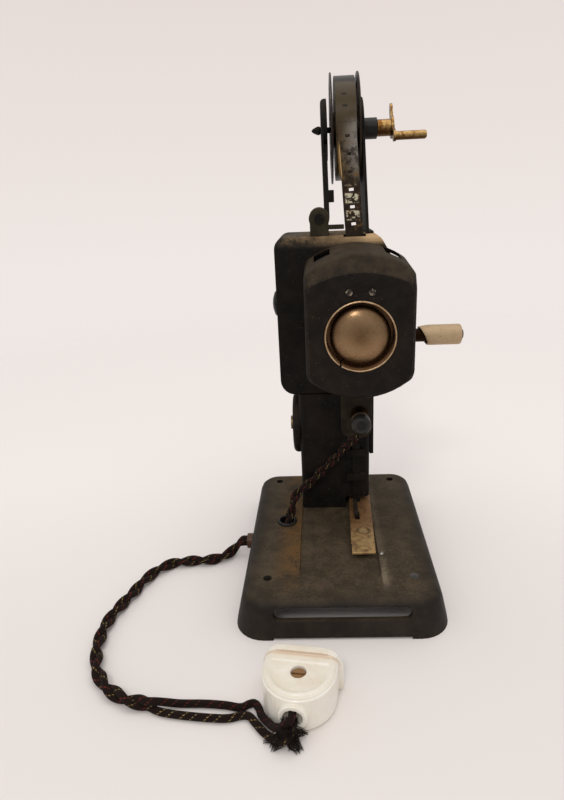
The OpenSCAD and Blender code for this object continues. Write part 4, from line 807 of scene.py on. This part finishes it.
# For each finish its nodes, and how wide their edges are rounded, in millimetres
DRESS = {
    BASE: {"base_plate": 0.5},
    HEAD: {"head_casting": 0.5, "front_plate": 0.3},
    BLACK: {
        "column": 0.4, "chamber_cap": 0.2, "film_door": 0.3, "lock_bar": 0.2, "bar_guides": 0.2,
        "reel_arm": 0.25, "swing_arm": 0.2, "hinge_pin": 0.15, "lens_mount": 0.2, "pivot_knob": 0.1,
    },
    GREY: {"lamp_bracket": 0.3, "gear_plate": 0.2},
    OLIVE: {"hinge_block": 0.3},
    SHEET: {"barrel_shutter": 0.1},
    ENAMEL: {"reel": 0.12},
    BAKELITE: {"cord_grommet": 0.15, "shaft_knob": 0.2, "reel_bearing": 0.25, "lamp_holder": 0.2},
    SHELL: {"lamp_plug": 0.2},
    BROWN: {"cord_bush": 0.2},
    BRASS: {"crank_gear": 0, "mid_gear": 0, "lens_barrel": 0.15, "rewind_spindle": 0.2, "rewind_lever": 0.25},
    DULL_BRASS: {"cap_nut": 0.2, "plug_contacts": 0.1},
    RING: {"split_ring": 0.15},
    LEAF: {"catch_leaf": 0.12},
    COPPER: {"plug_screw": 0.1},
    GRIMY: {"lamp_socket": 0.1, "grip_pin": 0.2},
    SCREW: {"house_screws": 0.15},
    NICKEL: {"crank_arm": 0.3},
    STEEL: {
        "leaf_rivets": 0.15, "door_pin": 0.1, "gate_plate": 0.1, "pressure_plate": 0.1, "crank_shaft": 0.2,
        "mid_shaft": 0, "shutter_shaft": 0, "claw": 0.08, "catch_pin": 0.1,
    },
    GLASS: {"lenses": 0, "condenser": 0, "lamp_bulb": 0},
    FILM: {"film_strip": 0, "film_roll": 0},
    PORCELAIN: {"plug_body": 0.4},
}


shown = {node: dressed(node, finish, edge) for finish, nodes in DRESS.items() for node, edge in nodes.items()}


# PIECES MADE AFRESH


def spun(profile, centre, axis, steps):
    """A line of points turned fully about an axis, facing outwards."""
    shape = bmesh.new()
    points = [shape.verts.new(p) for p in profile]
    lines = [shape.edges.new(pair) for pair in zip(points, points[1:])]
    bmesh.ops.spin(
        shape, geom=points + lines, cent=centre, axis=axis, dvec=(0, 0, 0), angle=2 * math.pi, steps=steps,
        use_merge=True,
    )
    bmesh.ops.remove_doubles(shape, verts=shape.verts, dist=0.002)
    bmesh.ops.recalc_face_normals(shape, faces=shape.faces)
    return shape


def bowl_brass():
    """Brass pressed over a form: a dark reddish middle, partly heat stain and partly a painted reflection, a tan
    belt, and a dark rim, partly tarnish and partly painted shade.
    """
    f = Finish("pressed_brass", Metallic=0.8)
    away = f.apart("XZ", (HOUSE_X, 0, AXIS_Z + 0.5))
    cloud = f.noise(0.25, 5, 0.6)
    fine = f.noise(1.8, 4, 0.65)
    far = away + cloud * 5 - 2.5
    # The dark reddish middle: partly heat stain, partly a painted reflection of the dark side of the room.
    base = f.tint(f.ease(far, -1, 9), (0.15, 0.08, 0.034), (0.27, 0.165, 0.085))
    base = f.tint(f.ease(far, 9, 14), base, (0.17, 0.095, 0.045))
    # The dark rim: partly tarnish, partly painted shade where the bowl curves away.
    base = f.tint(f.ease(away, 12, 14.4), base, (0.035, 0.018, 0.008))
    base = f.tint(f.ease(f.along("Y"), -9.5, -8), base, (0.13, 0.065, 0.028))
    spot = f.ease(f.cells(0.7) * -1 + fine * 0.4, 0.0, 0.1) * 0.6
    base = f.tint(spot, base, (0.12, 0.055, 0.02))
    f.wear("Base Color", base)
    f.wear("Roughness", fine * 0.14 + f.ease(cloud, 0.3, 0.7) * 0.08 + 0.16)
    f.relief(fine, 0.03, f.relief(cloud, 0.12))
    return f.material


def pressed_bowl():
    """The reflector from behind: a pressed bowl that stands a little proud of its ring."""
    def curve(radius, start, rise):
        angles = [math.radians(7.5 * i) for i in range(13)]
        return [(HOUSE_X + radius * math.sin(a) ** 0.83, start - rise * math.cos(a) ** 1.2, AXIS_Z) for a in angles]

    outside = curve(15.2, -11.2, 5.4)
    flange = [(15.1, -9.6), (14.6, -4.5), (18, -4.5), (18, -3.8), (13.9, -3.8), (14.4, -9.6)]
    skirt = [(HOUSE_X + r, y, AXIS_Z) for r, y in flange]
    inside = curve(14.5, -10.5, 5.4)[::-1]
    shape = spun(outside + skirt + inside, (HOUSE_X, 0, AXIS_Z), (0, 1, 0), 72)
    piece = piece_of(shape, "pressed_bowl", BODY_OF["reflector"], bowl_brass())
    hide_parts("reflector")


def grip_sleeve():
    """The crank's grip: a thin sleeve, flared from its inner end and cut at a slant."""
    outside = [(49, 4.9), (51, 5.15), (53, 5.5), (55, 5.8), (57, 6), (74.4, 6), (75.2, 5.7), (75.6, 5)]
    end = [(75.6, 2.2), (74.8, 2.2), (74.8, 5.1)]
    inside = [(57, 5.3), (53, 4.9), (49, 4.3)]
    profile = [(x, CRANK_Y, GRIP_Z + r) for x, r in outside + end + inside]
    shape = spun(profile, (0, CRANK_Y, GRIP_Z), (1, 0, 0), 48)
    everything = [*shape.verts, *shape.edges, *shape.faces]
    cut = bmesh.ops.bisect_plane(
        shape, geom=everything, plane_co=(53.2, CRANK_Y, GRIP_Z), plane_no=(-1, -0.2, -0.455), clear_outer=True,
    )["geom_cut"]
    bmesh.ops.bridge_loops(shape, edges=[g for g in cut if isinstance(g, bmesh.types.BMEdge)])
    bmesh.ops.recalc_face_normals(shape, faces=shape.faces)
    rounded_edges(shape, 0.12, 40)
    piece = piece_of(shape, "grip_sleeve", BODY_OF["crank_grip"], NICKEL)
    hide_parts("crank_grip")


def hood():
    """The lamp house, its vents a little larger and its pressed corners and shoulders rounded."""
    shape = merged_copy("lamp_house")
    for vert in shape.verts:
        out = vert.co.x - HOUSE_X
        at_end = min(abs(vert.co.y - end) for end in VENT_ENDS) <= 0.05
        if vert.co.z < 160 or not 13.9 < abs(out) < 21.3 or not at_end:
            continue
        roof = ROOF_CENTRE + math.sqrt(ROOF_R**2 - out * out) + ROOF_RISE * (vert.co.y - SHOULDER_Y)
        under = 1.2 if vert.co.z < roof - 0.8 else 0
        to = 4.4 - under if vert.co.y < sum(VENT_ENDS) / 2 else 20.4 + under / 2
        vert.co.z += (to - vert.co.y) * ROOF_RISE
        vert.co.y = to
        if abs(out) > 21:
            vert.co.x += math.copysign(1.1, out)
            vert.co.z -= 0.6

    def pick(test):
        """The outer edges whose middle, direction and angle pass a test."""
        picked = []
        for edge in shape.edges:
            a, b = (vert.co for vert in edge.verts)
            outer = len(edge.link_faces) == 2 and edge.is_convex
            if outer and test((a + b) / 2, (b - a).normalized(), edge.calc_face_angle(0)):
                picked.append(edge)
        return picked

    worn = shape.verts.layers.float.new(WEAR)

    def soften(edges, width, steps, rub=0.0):
        made = bmesh.ops.bevel(
            shape, geom=edges, offset=width, offset_type="OFFSET", segments=steps, profile=0.5, affect="EDGES",
            clamp_overlap=False, material=-1,
        )
        strips = set(made["faces"])
        for vert in {v for face in strips for v in face.verts}:
            if all(face in strips for face in vert.link_faces):
                vert[worn] = max(vert[worn], rub)

    def side_corner(middle, way, angle):
        return abs(way.y) > 0.5 and abs(middle.x - HOUSE_X) > SIDE_CORNERS and angle > 0.4 and middle.y < 21

    def shoulder(middle, way, angle):
        return abs(middle.y - SHOULDER_Y) < 0.1 and abs(way.y) < 0.2 and angle > 0.1

    def front_rim(middle, way, angle):
        outside_ring = (middle.x - HOUSE_X) ** 2 + (middle.z - AXIS_Z) ** 2 > 520
        return middle.y < -12.4 and abs(way.y) < 0.2 and angle > 0.25 and outside_ring

    soften(pick(side_corner), 2.6, 4)
    soften(pick(shoulder), 1.5, 3)
    soften(pick(front_rim), 0.7, 2, 0.8)
    piece = piece_of(shape, "lamp_hood", BODY_OF["lamp_house"], HOUSE)
    lit_evenly(piece)
    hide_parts("lamp_house")


def soft_porcelain(piece):
    """Melt the moulding's edges as glaze does."""
    melt = piece.modifiers.new("glaze", "REMESH")
    melt.mode = "VOXEL"
    melt.voxel_size = 0.3 * MM
    melt.use_smooth_shade = True
    settle = piece.modifiers.new("settle", "SMOOTH")
    settle.factor, settle.iterations = 0.5, 3


FIBRES = 190


def frayed_end():
    """The plait's loose ends at the plug: thin tapering fibres that fan out from the strands."""
    shape = bmesh.new()
    tips = [
        (-30.5, -125.2, 0.6), (-29.6, -127.2, 0.6), (-19.9, -128.3, 0.6), (-18.5, -126.9, 0.6), (-16.5, -121.4, 2),
        (-32.9, -123.8, 0.6), (-24.6, -124.6, 1.4), (-24.2, -120.9, 8.8), (-22.6, -127, 0.8), (-20.8, -125.4, 1.2),
    ]
    for _ in range(FIBRES):
        start = Vector((random.uniform(-26.6, -20.6), random.uniform(-127.4, -121), random.uniform(2.4, 11)))
        tip = Vector(random.choice(tips)) + Vector([random.uniform(-1, 1) for _ in range(3)])
        tip.z = max(0.35, tip.z)
        sag = Vector((random.uniform(-1.2, 1.2), random.uniform(-1.2, 0.8), random.uniform(-1.5, 1.5)))
        middle = start.lerp(tip, 0.5) + sag
        middle.z = max(0.6, middle.z)
        late = start.lerp(tip, 0.8) + sag * 0.4
        late.z = max(0.5, late.z)
        thick = random.uniform(0.1, 0.32)
        fibre = curve_through([start, middle, late, tip], 0.7)
        sweep(shape, fibre, lambda t, thick=thick: thick * (1.05 - 0.75 * t), 5)
    bmesh.ops.recalc_face_normals(shape, faces=shape.faces)
    return piece_of(shape, "frayed_end", BODY_OF["cord_strands"], COTTON, 60)


LEAF_SHIFT, LEAF_NARROWING = 2.0, 1.2


def narrower_leaf():
    """The spring leaf as it lies: narrower than its solid and turned a little."""
    mesh = shown["catch_leaf"].data
    lengths = [v.co.y for v in mesh.vertices]
    widths = [v.co.x for v in mesh.vertices]
    near, far, left, right = min(lengths), max(lengths), min(widths), max(widths)
    for vert in mesh.vertices:
        s = (vert.co.y - near) / (far - near)
        u = (vert.co.x - left) / (right - left)
        vert.co.x += (LEAF_SHIFT * s - LEAF_NARROWING * u) * MM


def pressed_ring():
    """The round mark pressed into the spring leaf."""
    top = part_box("catch_leaf")[1].z / MM
    turns = [math.radians(45 * i) for i in range(9)]
    profile = [(MARK_X + 3.3 + 0.55 * math.cos(a), MARK_Y, top - 0.2 + 0.5 * math.sin(a)) for a in turns]
    shape = spun(profile, (MARK_X, MARK_Y, 0), (0, 0, 1), 40)
    piece_of(shape, "pressed_ring", BODY_OF["catch_leaf"], LEAF, 80)


def trimmed_foot():
    """The reel arm's foot, drawn in under the arm."""
    for vert in shown["reel_arm"].data.vertices:
        if vert.co.z < FOOT_TOP * MM:
            vert.co.x = min(vert.co.x, ARM_EDGE * MM)


pressed_bowl()
narrower_leaf()
pressed_ring()
trimmed_foot()
grip_sleeve()
hood()
soft_porcelain(shown["plug_body"])
fray = frayed_end()


# CORD LENGTHS AND POINTS IN METRES, WORKED OUT BUT NOT KEPT

length_of(cord_line) * MM
in_metres(cord_line)
for strand, line in strands:
    tuple(line[0] * MM)
    length_of(line) * MM
    in_metres(line)
tuple(lead_line[0] * MM)
length_of(lead_line) * MM
in_metres(lead_line)


# FLOOR AND LIGHT


def floor():
    shape = bmesh.new()
    bmesh.ops.create_grid(shape, x_segments=1, y_segments=1, size=2.4)
    mesh = bpy.data.meshes.new("floor")
    shape.to_mesh(mesh)
    shape.free()
    f = Finish("pale_paper", Specular_IOR_Level=0.25)
    cloud = f.noise(0.004, 3, 0.5)
    near = f.tint(cloud, (0.84, 0.785, 0.76), (0.8, 0.745, 0.72))
    f.wear("Base Color", f.tint(f.ease(f.along("Y"), -110, 120), near, (0.93, 0.87, 0.845)))
    f.wear("Roughness", f.noise(0.5, 2, 0.5) * 0.2 + 0.6)
    away = f.add("ShaderNodeVectorMath", {"operation": "LENGTH"}, f.place, out="Value")
    clear = f.add("ShaderNodeBsdfTransparent")
    blend = f.add("ShaderNodeMixShader", {}, f.ease(away, 160, 900), Wire(f, f.shader.outputs[0]), clear)
    f.join(blend, f.tree.nodes["Material Output"].inputs["Surface"])
    mesh.materials.append(f.material)
    ground = bpy.data.objects.new("floor", mesh)
    scene.collection.objects.link(ground)


def lamp(name, place, aim, size, power, colour):
    data = bpy.data.lights.new(name, "AREA")
    data.shape = "DISK"
    data.size = size
    data.energy = power
    data.color = colour
    light = bpy.data.objects.new(name, data)
    scene.collection.objects.link(light)
    way = Vector(aim) - Vector(place)
    light.matrix_world = Matrix.Translation(place) @ way.to_track_quat("-Z", "Y").to_matrix().to_4x4()


def surroundings():
    """A pale room: its light comes mostly from above, and it is seen as a plain pale wall."""
    world = bpy.data.worlds.new("pale_room")
    scene.world = world
    world.use_nodes = True
    tree = world.node_tree

    def node(kind, **links):
        made = tree.nodes.new(kind)
        for socket, source in links.items():
            tree.links.new(source, made.inputs[socket])
        return made

    up = node("ShaderNodeSeparateXYZ", Vector=node("ShaderNodeTexCoord").outputs["Generated"]).outputs["Z"]

    def fade(low, high, below, above):
        share = node("ShaderNodeMapRange", Value=up)
        share.inputs["From Min"].default_value = low
        share.inputs["From Max"].default_value = high
        mix = node("ShaderNodeMix")
        mix.data_type = "RGBA"
        tree.links.new(share.outputs[0], mix.inputs[0])
        mix.inputs[6].default_value = rgba(below)
        mix.inputs[7].default_value = rgba(above)
        return mix.outputs[2]

    light = tree.nodes["Background"]
    tree.links.new(fade(0, 0.8, (0.47, 0.46, 0.455), (0.82, 0.81, 0.8)), light.inputs["Color"])
    seen = node("ShaderNodeBackground", Color=fade(-0.1, 0.28, (0.87, 0.805, 0.775), (0.79, 0.71, 0.68)))
    path = node("ShaderNodeLightPath")
    looked_at = node("ShaderNodeMath")
    tree.links.new(path.outputs["Is Camera Ray"], looked_at.inputs[0])
    tree.links.new(path.outputs["Is Transmission Ray"], looked_at.inputs[1])
    mix = node("ShaderNodeMixShader")
    tree.links.new(looked_at.outputs[0], mix.inputs[0])
    tree.links.new(light.outputs[0], mix.inputs[1])
    tree.links.new(seen.outputs[0], mix.inputs[2])
    tree.links.new(mix.outputs[0], tree.nodes["World Output"].inputs["Surface"])


floor()
surroundings()
lamp("window", (-0.2, -0.93, 1.1), (0, 0, 0.12), 0.3, 3.6, (1, 0.98, 0.95))
lamp("ceiling", (0.3, 0.1, 1.5), (0, 0, 0.1), 1.2, 3.8, (1, 0.97, 0.94))
scene.view_settings.view_transform = "Standard"
